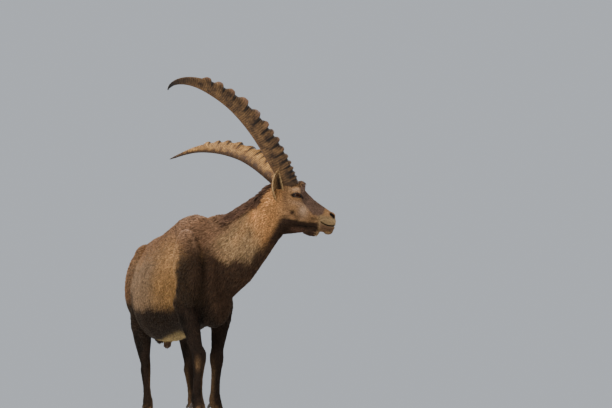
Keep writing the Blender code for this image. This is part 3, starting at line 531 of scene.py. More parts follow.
def neckSpace(local):  # place along the neck, height round it, distance from its line
    centres = np.array([row[0] for row in neckRows])
    best = np.full(len(local), 9.0)
    along, crown = np.zeros(len(local)), np.zeros(len(local))
    for k in range(len(centres) - 1):
        a, run = centres[k], centres[k + 1] - centres[k]
        t = np.clip(((local - a) @ run) / (run @ run), 0, 1)
        d = local - a - t[:, None] * run
        far = np.linalg.norm(d, axis=1)
        unit = run / np.linalg.norm(run)
        left = np.cross((0, 0, 1), unit)
        left /= np.linalg.norm(left)
        closer = far < best
        best = np.where(closer, far, best)
        along = np.where(closer, (k + t) / (len(centres) - 1), along)
        crown = np.where(closer, (d @ np.cross(unit, left)) / np.maximum(far, 1e-6), crown)
    return along, crown, best


def headMask(q, back, front, low, high):
    return ease(back, front, q[:, 0]) * ease(low, high, q[:, 2])


def bothSides(q):  # the head's coordinates with both sides laid on the left one
    return np.stack([q[:, 0], np.abs(q[:, 1]), q[:, 2]], axis=1)


# Eyes, nostrils and mouth: the openings in the skin, in the head's coordinates
openingSetting = {
    "eye": {"radius": 0.0195, "half": 0.0190, "upper": 0.0100, "lower": 0.0080, "slant": 0.0030 / 0.0175,
            "scale": 0.010, "lid": 0.0012, "swell": 0.0014, "sink": 0.0030},
    "nostril": {"at": (0.1930, -0.1290), "tilt": -30, "bend": 16},
    "mouth": ((0.140, 0.150, 0.163, 0.178, 0.193, 0.205, 0.214),
              (-0.1585, -0.1635, -0.1705, -0.1750, -0.1735, -0.1695, -0.1665)),
}
# Hollows and swellings of the face: centre, radii, height
faceSwells = [
    ((0.070, 0.040, -0.092), (0.020, 0.020, 0.008), -0.0022),  # below the inner eye corner
    ((0.095, 0.036, -0.118), (0.040, 0.020, 0.010), 0.0018),  # cheekbone's ridge
    ((0.100, 0.036, -0.140), (0.035, 0.020, 0.012), -0.0025),  # hollow of the cheek
    ((0.010, 0.055, -0.170), (0.030, 0.020, 0.030), 0.0015),  # jaw muscle
    ((-0.020, 0.065, -0.100), (0.020, 0.020, 0.012), -0.0020),  # below the ear
    ((0.178, 0.024, -0.118), (0.014, 0.012, 0.008), 0.0016),  # fold over the nostril
]


def lidGap(d):  # how far outside the eye's almond opening a point lies, from the eye's middle
    s = openingSetting["eye"]
    along, high = d[:, 0], d[:, 2] + s["slant"] * d[:, 0]
    shape = (1 - np.clip(np.abs(along) / s["half"], 0, 1) ** 2.2) ** 0.8
    tall = np.where(high > 0, s["upper"], s["lower"]) * np.maximum(shape, 0.02)
    beyond = np.maximum(np.abs(along) - s["half"], 0)
    return np.where(beyond > 0, np.hypot(beyond, high) / s["scale"], (np.abs(high) - tall) / s["scale"])


def nostrilMask(w, half, high, above=0.0):
    s = openingSetting["nostril"]
    c, n = math.cos(math.radians(s["tilt"])), math.sin(math.radians(s["tilt"]))
    a, b = w[:, 0] - s["at"][0], w[:, 2] - s["at"][1]
    along = a * c + b * n
    across = -a * n + b * c + s["bend"] * along * np.abs(along)
    return np.exp(-((along / half) ** 4 + ((across - above) / high) ** 2))


def mouthLine(x):
    return np.interp(x, *openingSetting["mouth"])


def openEyes(w):  # a thin lid round each eyeball, open along the almond
    s, eye = openingSetting["eye"], np.array(headSetting["eyeAt"])
    d = w - eye
    away = np.linalg.norm(d, axis=1)
    gap = lidGap(d)
    near = ease(0.034, 0.029, away) * ease(0.20, 0.45, d[:, 1] / np.maximum(away, 1e-6))
    lid = s["radius"] + s["lid"] + s["swell"] * np.exp(-((gap - 0.12) / 0.22) ** 2)
    inside = ease(0.05, -0.08, gap)
    goal = lid * (1 - inside) + (s["radius"] - s["sink"]) * inside
    goal = np.where(gap > 0.25, goal + (np.maximum(away, goal) - goal) * ease(0.25, 0.9, gap), goal)
    reach = away + (goal - away) * near
    return eye + d * (reach / np.maximum(away, 1e-6))[:, None]


def pressNostrils(w):
    offMiddle = ease(0.0, 0.010, w[:, 1])
    shape = nostrilMask(w, 0.0122, 0.0052) * offMiddle
    rim = nostrilMask(w, 0.0150, 0.0030, 0.0090) * offMiddle
    out = w.copy()
    out[:, 1] += 0.0014 * rim - 0.0110 * shape
    out[:, 0] -= 0.0050 * shape
    return out


def pressMouth(w):
    gap = w[:, 2] - mouthLine(w[:, 0])
    inMouth = ease(0.138, 0.152, w[:, 0])
    deep = np.exp(-(gap / 0.0026) ** 2) * inMouth
    lip = (np.exp(-((gap - 0.0062) / 0.0034) ** 2) + 0.8 * np.exp(-((gap + 0.0062) / 0.0034) ** 2)) * inMouth
    out = w.copy()
    out[:, 1] += (0.0010 * lip - 0.0060 * deep) * ease(0.0, 0.010, w[:, 1])
    out[:, 0] += (0.0008 * lip - 0.0060 * deep) * ease(0.175, 0.200, w[:, 0])
    return out


def shapeHead(piece):
    points, normals = pointsOf(piece.data), normalsOf(piece.data)
    w = bothSides(toHead(points))
    move = np.zeros(len(w))
    for centre, radii, height in faceSwells:
        move += height * blob(w, centre, radii)
    q = toHead(points + normals * move[:, None])
    w = pressMouth(pressNostrils(openEyes(bothSides(q))))
    w[:, 1] *= np.where(q[:, 1] >= 0, 1.0, -1.0)
    setPoints(piece.data, w @ headTurnArray.T + headAtArray)


# The ears: cupped shells with a wall, and the skin of the whole body
earSetting = {
    "root": (-0.047, 0.060, -0.082),
    "axis": (-0.070, 0.550, 0.830),
    "length": 0.125,
    "width": 0.058,
    "mouth": (0.62, 0.76, -0.18),  # the way that the ear opens
    "halves": (0.34, 0.66, 0.88, 0.99, 0.98, 0.88, 0.70, 0.42, 0.05),  # half widths from root to tip
    "cups": (230, 185, 160, 142, 130, 118, 105, 90, 60),  # degrees that the shell goes round
    "wall": 0.0026,
    "below": 0.16,  # how far the ear goes on below its root, as a part of its length
    "rows": 46,
    "across": 21,
    "outside": linear(150, 114, 76),
    "outsideRim": linear(206, 172, 122),
    "inside": linear(146, 112, 76),
    "insidePaintedShade": linear(62, 46, 33),
    "insideRim": linear(218, 184, 132),
}
earAxis = Vector(earSetting["axis"]).normalized()


def earRing(t, side):
    s = earSetting
    mouth = Vector(s["mouth"])
    mouth = (mouth - earAxis * mouth.dot(earAxis)).normalized()
    edge = earAxis.cross(mouth)
    spot = Vector(s["root"]) + earAxis * (s["length"] * t) - mouth * (0.010 * math.sin(math.pi * max(t, 0.0)))
    spot.y -= 0.014 * float(ease(0.14, -0.16, t))
    whole = (t + s["below"]) / (1 + s["below"])
    half = s["width"] / 2 * smoothAt(s["halves"], whole)
    cup = math.radians(smoothAt(s["cups"], whole))
    outer, inner = [], []
    for i in range(s["across"]):
        a = cup * (i / (s["across"] - 1) * 2 - 1) * 0.575
        wall = s["wall"] * (0.45 + 0.55 * math.sin(math.pi * i / (s["across"] - 1)) ** 0.5) * (1.0 - 0.4 * t)
        outer.append(spot + mouth * (half * 0.55 - math.cos(a) * half) + edge * (math.sin(a) * half * 1.05))
        inner.append(outer[-1] + (mouth * math.cos(a) - edge * math.sin(a)) * wall)
    return [placed(point, side) for point in outer + list(reversed(inner))]


def earTone(t, k):  # tan outside, painted shade dark inside the cup, pale along the rim
    s, count = earSetting, earSetting["across"]
    inner = k >= count
    across = (2 * count - 1 - k if inner else k) / (count - 1)
    rim = max(0.0, abs(across * 2 - 1) - 0.78) / 0.22
    if inner:
        # Painted shade inside the cup, strongest in a strip near one edge and fading towards the tip
        shade = float(ease(0.02, 0.10, across) * ease(0.46, 0.22, across)) * float(ease(0.95, 0.6, t))
        tone = s["inside"] * (1 - shade) + s["insidePaintedShade"] * shade
        rim *= 0.35 + 0.65 * float(ease(0.10, 0.45, t))
        return tone * (1 - rim) + s["insideRim"] * rim
    rim *= 0.8 * float(ease(0.05, 0.40, t))
    return (s["outside"] * (1 - rim) + s["outsideRim"] * rim) * (0.85 + 0.3 * t)


def makeEar(name, side):
    s = earSetting
    rows = range(s["rows"] + 1)
    bm = bmesh.new()
    loftInto(bm, [earRing((1 + s["below"]) * i / s["rows"] - s["below"], side) for i in rows])
    bmesh.ops.recalc_face_normals(bm, faces=bm.faces)
    splitCaps(bm)
    ear = fromBmesh("ear" + name.capitalize(), bm)
    tones = [earTone(i / s["rows"], k) for i in rows for k in range(2 * s["across"])]
    setAttribute(ear.data, "coatColour", "FLOAT_COLOR", np.array(tones))
    unwrap(ear)
    return ear


skinSetting = {
    "voxel": 0.0025,  # size of the cells that melt the forms together
    "coatDepth": 0.0030,  # how far the skin lies inside the solids, under the coat
    "faceDepth": 0.0012,
    "legDepth": 0.0018,
    "triangles": 190000,
}


def makeSkin():
    s = skinSetting
    bm = bmesh.new()
    bodyForms(bm)
    headForms(bm)
    made = fromBmesh("skin", bm)
    melt = made.modifiers.new("melt", "REMESH")
    melt.mode = "VOXEL"
    melt.voxel_size = s["voxel"]
    applied(made)
    # The body is softened most, the head least, and the join between them in between
    q = toHead(pointsOf(made.data))
    onHead = headMask(q, -0.115, -0.030, -0.34, -0.26)
    atJoin = np.exp(-((q[:, 0] + 0.085) / 0.045) ** 2) * ease(-0.40, -0.30, q[:, 2])
    grade = (0.0095 / s["voxel"]) ** 2
    for name, weight, rounds in (("soften", 1 - onHead, 6), ("join", atJoin, 8), ("face", onHead, 0.40)):
        weightGroup(made, name, weight)
        soften = made.modifiers.new(name, "SMOOTH")
        soften.factor = 0.5
        soften.iterations = int(rounds * grade)
        soften.vertex_group = name
    applied(made)
    keepLargest(made.data)
    # Drawn in by the coat's depth
    points, normals = pointsOf(made.data), normalsOf(made.data)
    onHead = headMask(toHead(points), -0.10, -0.03, -0.34, -0.26)
    onLeg = ease(0.075, 0.045, legDistance(points)) * ease(0.46, 0.38, points[:, 2])
    depth = s["coatDepth"] + (s["faceDepth"] - s["coatDepth"]) * onHead
    depth = depth + (s["legDepth"] - depth) * onLeg
    setPoints(made.data, points - normals * depth[:, None])
    shapeHead(made)
    fine = 0.15 + 0.85 * headMask(toHead(pointsOf(made.data)), -0.08, 0.0, -0.30, -0.24)
    weightGroup(made, "fine", 1 - fine)
    count = sum(len(face.vertices) - 2 for face in made.data.polygons)
    thin = made.modifiers.new("thin", "DECIMATE")
    thin.ratio = min(1.0, s["triangles"] / count)
    thin.vertex_group = "fine"
    thin.vertex_group_factor = 1.0
    thin.use_collapse_triangulate = True
    applied(made)
    made.vertex_groups.clear()
    keepLargest(made.data)
    made.data.shade_smooth()
    unwrap(made)
    print("skin", len(made.data.polygons), "triangles")
    return made


# Markings: one set for skin and coat
coatTones = {
    "back": linear(106, 71, 43),
    "flank": linear(144, 110, 76),
    "flankLow": linear(146, 110, 66),
    "flankGrey": linear(122, 102, 82),
    "flankGold": linear(178, 136, 90),
    "band": linear(34, 22, 12),
    "cream": linear(146, 124, 80),
    "rump": linear(118, 84, 56),
    "rumpPatch": linear(206, 188, 152),
    "shoulder": linear(38, 26, 17),
    "chest": linear(70, 50, 36),
    "withers": linear(140, 106, 80),
    "neck": linear(170, 138, 100),
    "neckWarm": linear(214, 156, 98),
    "nape": linear(84, 60, 46),
    "face": linear(176, 134, 92),
    "brow": linear(228, 186, 142),
    "bridge": linear(120, 94, 80),
    "greyCheek": linear(204, 172, 144),
    "lips": linear(164, 136, 98),
    "jaw": linear(60, 42, 30),
    "jawLow": linear(96, 68, 52),
    "dark": linear(22, 15, 12),
    "leg": linear(24, 16, 10),
    "legFrontHighlight": linear(50, 36, 27),
    "legTan": linear(138, 106, 72),
    "tail": linear(52, 38, 30),
}
markEdges = {
    # Where the dark throat meets the tan side of the neck: place along the neck, height round it
    "throat": ((0.20, 0.30, 0.36, 0.45, 0.60, 0.80, 1.0), (0.30, 0.25, -0.45, -0.78, -0.90, -0.88, -0.75)),
    # Lower edge of the dark bridge of the nose: distance ahead of the horns, height
    "bridge": ((0.050, 0.059, 0.083, 0.111, 0.136, 0.153, 0.168),
               (-0.060, -0.081, -0.110, -0.134, -0.139, -0.128, -0.085)),
    # Top of the dark band along the belly: distance ahead, height
    "band": ((-0.62, -0.357, -0.074, 0.158), (0.530, 0.494, 0.473, 0.462)),
}


def mix(base, colour, mask):
    return base + (colour - base) * np.clip(mask, 0, 1)[:, None]


def layered(base, *layers):  # tones laid over each other in turn, each with its mask
    for tone, mask in layers:
        base = mix(base, coatTones[tone], mask)
    return base


def wander(points, size, seed):  # a smooth random value, for edges that aren't ruled
    rng = np.random.default_rng(seed)
    total = np.zeros(len(points))
    for octave in range(3):
        for way in rng.normal(size=(4, 3)):
            wave = points @ (way / np.linalg.norm(way)) * (6.28 / size) * 1.9 ** octave
            total += np.sin(wave + rng.uniform(0, 6.28)) * 0.6 ** octave
    return total / 4


def trunkMarks(along, sideways, level, local, drift, small):
    x, z, off = local[:, 0], local[:, 2], np.abs(sideways)
    bandTop = np.interp(x, *markEdges["band"])
    return layered(
        coatTones["flank"],
        ("flankLow", ease(0.72, 0.40, level + 0.03 * drift) * ease(-0.42, -0.05, along) * 0.85),
        ("flankGrey", ease(0.02, -0.20, along + 0.03 * drift)
         * ease(0.84, 0.58, level + 0.05 * drift) * 0.62),
        ("flankGold", ease(-0.16, 0.04, along + 0.02 * drift) * ease(0.34, 0.58, level)
         * ease(0.94, 0.80, level) * 0.60),
        ("back", ease(0.64, 0.94, level + 0.06 * drift) * 0.9),
        ("withers", ease(-0.10, 0.04, along) * ease(0.70, 0.86, level) * 0.8),
        ("band", ease(0.036, -0.018, z - bandTop + 0.010 * drift + 0.006 * small)),
        ("cream", ease(0.045, 0.010, level + 0.008 * small) * ease(0.060, 0.030, off)
         * ease(0.02, -0.14, along) * ease(-0.54, -0.48, along)),
        ("chest", ease(0.01, -0.01, level)
         * (ease(-0.55, -0.58, along) + ease(0.075, 0.045, np.abs(along + 0.345)))),
        # The lower thigh takes the band's tone: partly its own brown, partly painted shade
        ("band", ease(-0.38, -0.52, along) * ease(0.54, 0.36, level + 0.03 * drift) * 0.8),
        ("rump", ease(-0.52, -0.66, along + 0.02 * drift) * ease(0.20, 0.35, level) * 0.9),
        ("rumpPatch", ease(-0.765, -0.785, along + 0.006 * small) * ease(0.77, 0.73, z) * ease(0.50, 0.56, z)
         * ease(0.050, 0.032, off)))


def neckMarks(colour, sideways, local, drift, small):
    # Chest and front of the shoulder are dark, as far as the neck's tan side
    x, y, z = local[:, 0], local[:, 1], local[:, 2]
    near = np.where(sideways < 0, 0.0, 0.060)  # the left foreleg stands further back
    upNeck, crown, away = neckSpace(local)
    edge = np.interp(upNeck, *markEdges["throat"]) + 0.10 * drift
    front = ease(0.135, 0.215, x + near + 0.024 * drift + 0.016 * small + 0.55 * np.abs(z - 0.68) - 0.015)
    onTan = ease(0.30, 0.40, upNeck) * ease(-0.22, 0.16, crown - edge)
    dark = front * ease(0.780, 0.630, z + 0.02 * drift) * (1 - onTan)
    dark = np.maximum(dark, ease(0.12, 0.20, x + near) * ease(0.56, 0.50, z))
    colour = layered(colour, ("shoulder", dark * 0.95), ("chest", dark * ease(0.20, 0.25, x + 0.3 * y) * 0.9))
    neck = layered(
        coatTones["neck"],
        ("neckWarm", ease(0.50, 0.85, upNeck + 0.08 * drift) * 0.9),
        ("withers", ease(0.25, 0.85, crown + 0.1 * drift) * ease(0.75, 0.45, upNeck) * 0.9),
        ("chest", ease(0.12, -0.16, crown - edge)),
        ("nape", ease(0.66, 0.84, crown + 0.04 * small) * ease(0.42, 0.56, upNeck)))
    return mix(colour, neck, ease(0.32, 0.44, upNeck) * ease(0.21, 0.15, away))


def legMarks(colour, points, normals, sideways, local, drift, small):
    z = local[:, 2]
    # Painted highlight on the legs' fronts, lighter where they face forward
    leg = layered(coatTones["leg"], ("legFrontHighlight", ease(-0.3, 0.8, drift + normals[:, 0]) * 0.7))
    inward = normals[:, 1] * np.sign(sideways + 1e-9) * -1
    return layered(
        mix(colour, leg, ease(0.090, 0.055, legDistance(points)) * ease(0.52, 0.42, z)),
        ("legTan", blob(local, (0.228, -0.045, 0.222), (0.013, 0.013, 0.026)) * 0.9),  # right knee
        ("legTan", ease(0.070, 0.045, z) * ease(0.0, 0.5, small + 0.3) * 0.45),
        ("legTan", ease(0.30, 0.18, z) * ease(0.2, 0.9, inward) * 0.35))


def faceMarks(colour, q, small):
    w = bothSides(q)
    hx, off, hz = w[:, 0], w[:, 1], w[:, 2]
    rough = hz + 0.003 * small
    mouth = mouthLine(hx)
    bridge = ease(-0.006, 0.006, hz - np.interp(hx, *markEdges["bridge"]) + 0.003 * small)
    eyeSpot = np.sqrt(((hx - 0.0345) / 0.0225) ** 2 + ((hz + 0.0665 + 0.06 * (hx - 0.0345)) / 0.0108) ** 2)
    face = layered(
        coatTones["face"],
        ("brow", blob(w, (0.038, 0.065, -0.040), (0.030, 0.030, 0.012)) * 0.9),
        ("neckWarm", ease(0.00, -0.06, hx) * 0.8),
        ("greyCheek", blob(w, (0.068, 0.045, -0.122), (0.022, 0.03, 0.030)) * 0.75),
        ("greyCheek", blob(w, (0.040, 0.065, -0.095), (0.030, 0.03, 0.008)) * 0.4),
        ("bridge", bridge * ease(0.044, 0.056, hx) * ease(0.176, 0.160, hx) * 0.95),
        ("lips", ease(0.120, 0.148, hx + 0.004 * small) * ease(-0.128, -0.142, hz)),
        ("legTan", ease(0.138, 0.150, hx) * ease(-0.168, -0.184, rough) * 0.8),
        ("jaw", ease(-0.158, -0.170, rough) * ease(-0.050, -0.010, hx - 0.5 * (hz + 0.17))
         * ease(0.146, 0.132, hx)),
        ("jawLow", ease(-0.186, -0.194, hz) * ease(-0.210, -0.202, hz) * ease(0.01, 0.03, hx)
         * ease(0.10, 0.08, hx) * 0.8),
        ("dark", ease(0.0045, 0.0015, np.abs(hz + 0.182)) * ease(0.02, 0.06, hx)
         * ease(0.140, 0.120, hx) * 0.7),
        # Painted shadow under the cheekbone, running down towards the jaw
        ("jaw", blob(w, (0.021, 0.055, -0.137), (0.012, 0.03, 0.011)) * 1.1),
        ("jaw", blob(w, (-0.010, 0.055, -0.156), (0.022, 0.03, 0.008)) * 0.7),
        ("jaw", blob(w, (0.116, 0.035, -0.150), (0.022, 0.03, 0.010)) * 0.75),
        # Painted shadow of the lower lip, just under the mouth line
        ("jawLow", ease(0.001, 0.008, mouth - hz) * ease(0.138, 0.150, hx) * ease(0.212, 0.190, hx)
         * ease(-0.206, -0.186, rough) * 0.8),
        ("bridge", blob(w, (0.040, 0.0, 0.006), (0.030, 0.026, 0.030)) * 1.2),
        ("dark", ease(1.18, 0.92, eyeSpot) * ease(0.03, 0.045, off)),
        ("dark", blob(w, (0.060, 0.055, -0.073), (0.008, 0.03, 0.0055)) * 0.9),
        # Painted shade in the mouth's slit and inside the nostrils
        ("dark", ease(0.0050, 0.0022, np.abs(hz - mouth)) * ease(0.138, 0.150, hx)),
        ("dark", nostrilMask(w, 0.0138, 0.0064) * ease(0.004, 0.012, off) * 1.8))
    head = headMask(q, -0.115, -0.055, -0.30, -0.24)
    behind = ease(0.062, 0.048, off + 0.002 * small) * ease(0.026, 0.006, hx) * ease(-0.17, -0.12, hx)
    # Painted shade in the hollows in front of the ear and under the cheekbone
    hollowShade = blob(w, (-0.012, 0.065, -0.075), (0.010, 0.03, 0.030)) * 0.5
    hollowShade = hollowShade + blob(w, (0.000, 0.065, -0.118), (0.014, 0.03, 0.022)) * 0.35
    hollowShade = hollowShade + blob(w, (0.046, 0.055, -0.150), (0.040, 0.03, 0.006)) * 0.45
    return layered(
        mix(colour, face, head),
        ("nape", behind * ease(-0.100, -0.078, hz + 0.35 * np.maximum(-hx - 0.05, 0))),
        ("jawLow", hollowShade * head))


def markings(points, normals):
    along, sideways, level, local = bodySpace(points)
    drift, small = wander(local, 0.11, 5), wander(local, 0.030, 6)
    colour = trunkMarks(along, sideways, level, local, drift, small)
    colour = neckMarks(colour, sideways, local, drift, small)
    colour = legMarks(colour, points, normals, sideways, local, drift, small)
    colour = faceMarks(colour, toHead(points), small)
    return colour * (1 + 0.07 * drift + 0.06 * small)[:, None]


def alongSurface(way, normals):
    way = way - normals * np.sum(way * normals, axis=1)[:, None]
    return way / np.maximum(np.linalg.norm(way, axis=1), 1e-6)[:, None]


def lieOf(points, normals):  # the way that the hair lies
    _, _, level, local = bodySpace(points)
    q = toHead(points)
    lie = np.tile(np.array((-1.0, 0.0, -0.30)), (len(points), 1))
    lie[:, 2] -= 0.9 * ease(0.8, 0.2, level)
    onFace = np.stack([np.full(len(q), -1.0), np.zeros(len(q)), -0.28 * ease(-0.02, -0.16, q[:, 2])], axis=1)
    forward = local[:, 0] + 0.75 * local[:, 1] + 0.35 * (local[:, 2] - 0.70)
    for way, mask in (
            ((-0.55, -0.42, -0.75), ease(0.10, 0.24, forward)),
            ((-0.12, 0, -1.0), ease(0.085, 0.050, legDistance(points)) * ease(0.55, 0.42, local[:, 2])),
            (onFace @ headTurnArray.T, headMask(q, -0.12, -0.06, -0.30, -0.24))):
        lie = lie + (np.array(way) - lie) * mask[:, None]
    return alongSurface(lie, normals)


# Node helpers: each adds a node and gives back the output that the next one takes

def wire(tree, node, inputs):
    for key, value in inputs.items():
        if isinstance(value, bpy.types.NodeSocket):
            tree.links.new(value, node.inputs[key])
        else:
            node.inputs[key].default_value = value
    return node


def add(tree, kind, inputs=None, **fields):
    made = tree.nodes.new(kind)
    for key, value in fields.items():
        setattr(made, key, value)
    return wire(tree, made, inputs or {})


def calc(tree, operation, *values):
    return add(tree, "ShaderNodeMath", dict(enumerate(values)), operation=operation).outputs[0]


def scaled(tree, vector, gain):
    return add(tree, "ShaderNodeVectorMath", {0: vector, "Scale": gain}, operation="SCALE").outputs[0]


def lengthOf(tree, x, y):
    flat = add(tree, "ShaderNodeCombineXYZ", {"X": x, "Y": y}).outputs[0]
    return add(tree, "ShaderNodeVectorMath", {0: flat}, operation="LENGTH").outputs["Value"]


def partsOf(tree, vector):
    return add(tree, "ShaderNodeSeparateXYZ", {0: vector}).outputs


def remap(tree, value, low, high, toLow=0.0, toHigh=1.0):
    return add(tree, "ShaderNodeMapRange", {"Value": value, "From Min": low, "From Max": high,
                                            "To Min": toLow, "To Max": toHigh}).outputs[0]


def objectPlace(tree):
    return add(tree, "ShaderNodeTexCoord").outputs["Object"]


def noiseAt(tree, place, scale, detail, roughness=0.5):
    return add(tree, "ShaderNodeTexNoise", {"Vector": place, "Scale": scale, "Detail": detail,
                                            "Roughness": roughness}).outputs["Fac"]


def attributeOf(tree, name, output="Fac"):
    return add(tree, "ShaderNodeAttribute", attribute_name=name).outputs[output]


def twoTones(tree, factor, low, high, start=0.0, end=1.0):
    ramp = add(tree, "ShaderNodeValToRGB", {"Fac": factor})
    for element, at, colour in zip(ramp.color_ramp.elements, (start, end), (low, high)):
        element.position = at
        element.color = (*colour, 1)
    return ramp.outputs[0]


def over(tree, factor, below, above):
    below, above = (c if isinstance(c, bpy.types.NodeSocket) else (*c, 1) for c in (below, above))
    return add(tree, "ShaderNodeMix", {0: factor, 6: below, 7: above}, data_type="RGBA").outputs[2]


def bumpOf(tree, height, strength, distance):
    return add(tree, "ShaderNodeBump", {"Height": height, "Strength": strength,
                                        "Distance": distance}).outputs[0]


def newTree(name, kind, inputs, outputs):
    tree = bpy.data.node_groups.new(name, kind)
    for way, sockets in (("INPUT", inputs), ("OUTPUT", outputs)):
        for label, socketKind, *value in sockets:
            socket = tree.interface.new_socket(label, in_out=way, socket_type="NodeSocket" + socketKind)
            if value:
                socket.default_value = value[0]
    return tree, tree.nodes.new("NodeGroupInput").outputs, tree.nodes.new("NodeGroupOutput")


def newMaterial(name):
    made = bpy.data.materials.new(name)
    made.use_nodes = True
    return made, made.node_tree, made.node_tree.nodes["Principled BSDF"]


def grainGroup():  # specks and soft patches over a colour, and a height for the bump
    tree, given, end = newTree("coatGrain", "ShaderNodeTree",
                               [("Colour", "Color"), ("Scale", "Float", 300.0), ("Strength", "Float", 0.4)],
                               [("Colour", "Color"), ("Height", "Float")])
    place = objectPlace(tree)
    fine = noiseAt(tree, place, given["Scale"], 3.0, 0.6)
    patches = remap(tree, noiseAt(tree, place, 22.0, 4.0, 0.62), 0.3, 0.7, -0.14, 0.14)
    specks = remap(tree, noiseAt(tree, place, 160.0, 3.0, 0.7), 0.35, 0.65, -0.27, 0.27)
    grain = calc(tree, "MULTIPLY", remap(tree, fine, 0.32, 0.68, -1.0, 1.0), given["Strength"])
    gain = calc(tree, "ADD", calc(tree, "ADD", grain, calc(tree, "ADD", specks, patches)), 1.0)
    wire(tree, end, {"Colour": scaled(tree, given["Colour"], gain), "Height": fine})
    return tree


def coatMaterial(name, tuft):
    made, tree, shader = newMaterial(name)
    colour = attributeOf(tree, "coatColour", "Color")
    if tuft:
        gain = remap(tree, attributeOf(tree, "tuftTone"), 0.0, 1.0, 0.56, 1.46)
        tip = remap(tree, attributeOf(tree, "alongTuft"), 0.0, 1.0, 0.70, 1.22)
        colour = scaled(tree, colour, calc(tree, "MULTIPLY", gain, tip))
    grain = add(tree, "ShaderNodeGroup", node_tree=coatGrain)
    wire(tree, grain, {"Colour": colour, "Scale": 420.0, "Strength": 0.20 if tuft else 0.42})
    wire(tree, shader, {
        "Base Color": grain.outputs["Colour"], "Normal": bumpOf(tree, grain.outputs["Height"], 0.5, 0.0012),
        "Roughness": 0.78, "Specular IOR Level": 0.14, "Sheen Weight": 0.06, "Sheen Roughness": 0.45,
        "Sheen Tint": (0.80, 0.62, 0.46, 1.0)})
    return made


coatGrain = grainGroup()
skinMaterial = coatMaterial("summerCoatSkin", False)
tuftMaterial = coatMaterial("summerCoatTufts", True)

skin = makeSkin()
points, normals = pointsOf(skin.data), normalsOf(skin.data)
setAttribute(skin.data, "coatColour", "FLOAT_COLOR", markings(points, normals))
skin.data.materials.append(skinMaterial)
print("skin painted")
ears = {1: makeEar("left", 1), -1: makeEar("right", -1)}
for ear in ears.values():
    ear.data.materials.append(skinMaterial)

# Coat tufts and longer locks by Geometry Nodes: count per square metre, length, width, lift in degrees,
# seed, and bend. Only curved locks have a bend, and the others are short straight tufts.
coatSetting = {
    "coatBody": (45000, 0.019, 0.0036, 7.0, 3, None),
    "coatNeck": (45000, 0.019, 0.0034, 9.0, 5, None),
    "coatLegs": (95000, 0.0095, 0.0022, 7.0, 7, None),
    "coatHead": (240000, 0.0070, 0.0015, 8.0, 9, None),
    "crestLocks": (70000, 0.030, 0.0048, 24.0, 31, -0.22),
    "forelockLocks": (150000, 0.016, 0.0042, 20.0, 33, -0.30),
    "beardLocks": (150000, 0.019, 0.0040, 14.0, 35, -0.16),
    "earTufts": (160000, 0.0080, 0.0016, 7.0, 39, -0.10),
    "tailLocks": (60000, 0.042, 0.0060, 12.0, 37, -0.10),
    "sizeRange": (0.70, 1.30),
    "wobble": (0.22, 0.10, 0.30),
    "lockWidths": (0.55, 0.95, 1.0, 0.80, 0.42),
}


def bladeMesh(bend):  # a closed three-sided blade along X, one unit long and wide
    if bend is None:
        rows, ridge = [(0.0, -0.10, 0.75), (0.50, 0.050, 1.0)], (0.06, 0.03)
    else:
        rows = [(t, bend * t * t, smoothAt(coatSetting["lockWidths"], t)) for t in [i / 6 for i in range(6)]]
        ridge = (0.10, 0.0)
    bm = bmesh.new()
    rings = [[(x, -0.5 * w, z), (x, 0.5 * w, z), (x, 0.0, z + ridge[0] * w + ridge[1])] for x, z, w in rows]
    made = loftInto(bm, rings, closeEnds=False)
    fanTo(bm, made[-1], (1.0, 0.0, bend or 0.0))
    bm.faces.new(list(reversed(made[0])))
    uv = bm.loops.layers.uv.new("tuftUv")
    for face in bm.faces:
        for loop in face.loops:
            loop[uv].uv = (loop.vert.co.x, loop.vert.co.y + 0.5)
    blade = fromBmesh("blade", bm)
    setAttribute(blade.data, "alongTuft", "FLOAT", np.array([v.co.x for v in blade.data.vertices]))
    return blade


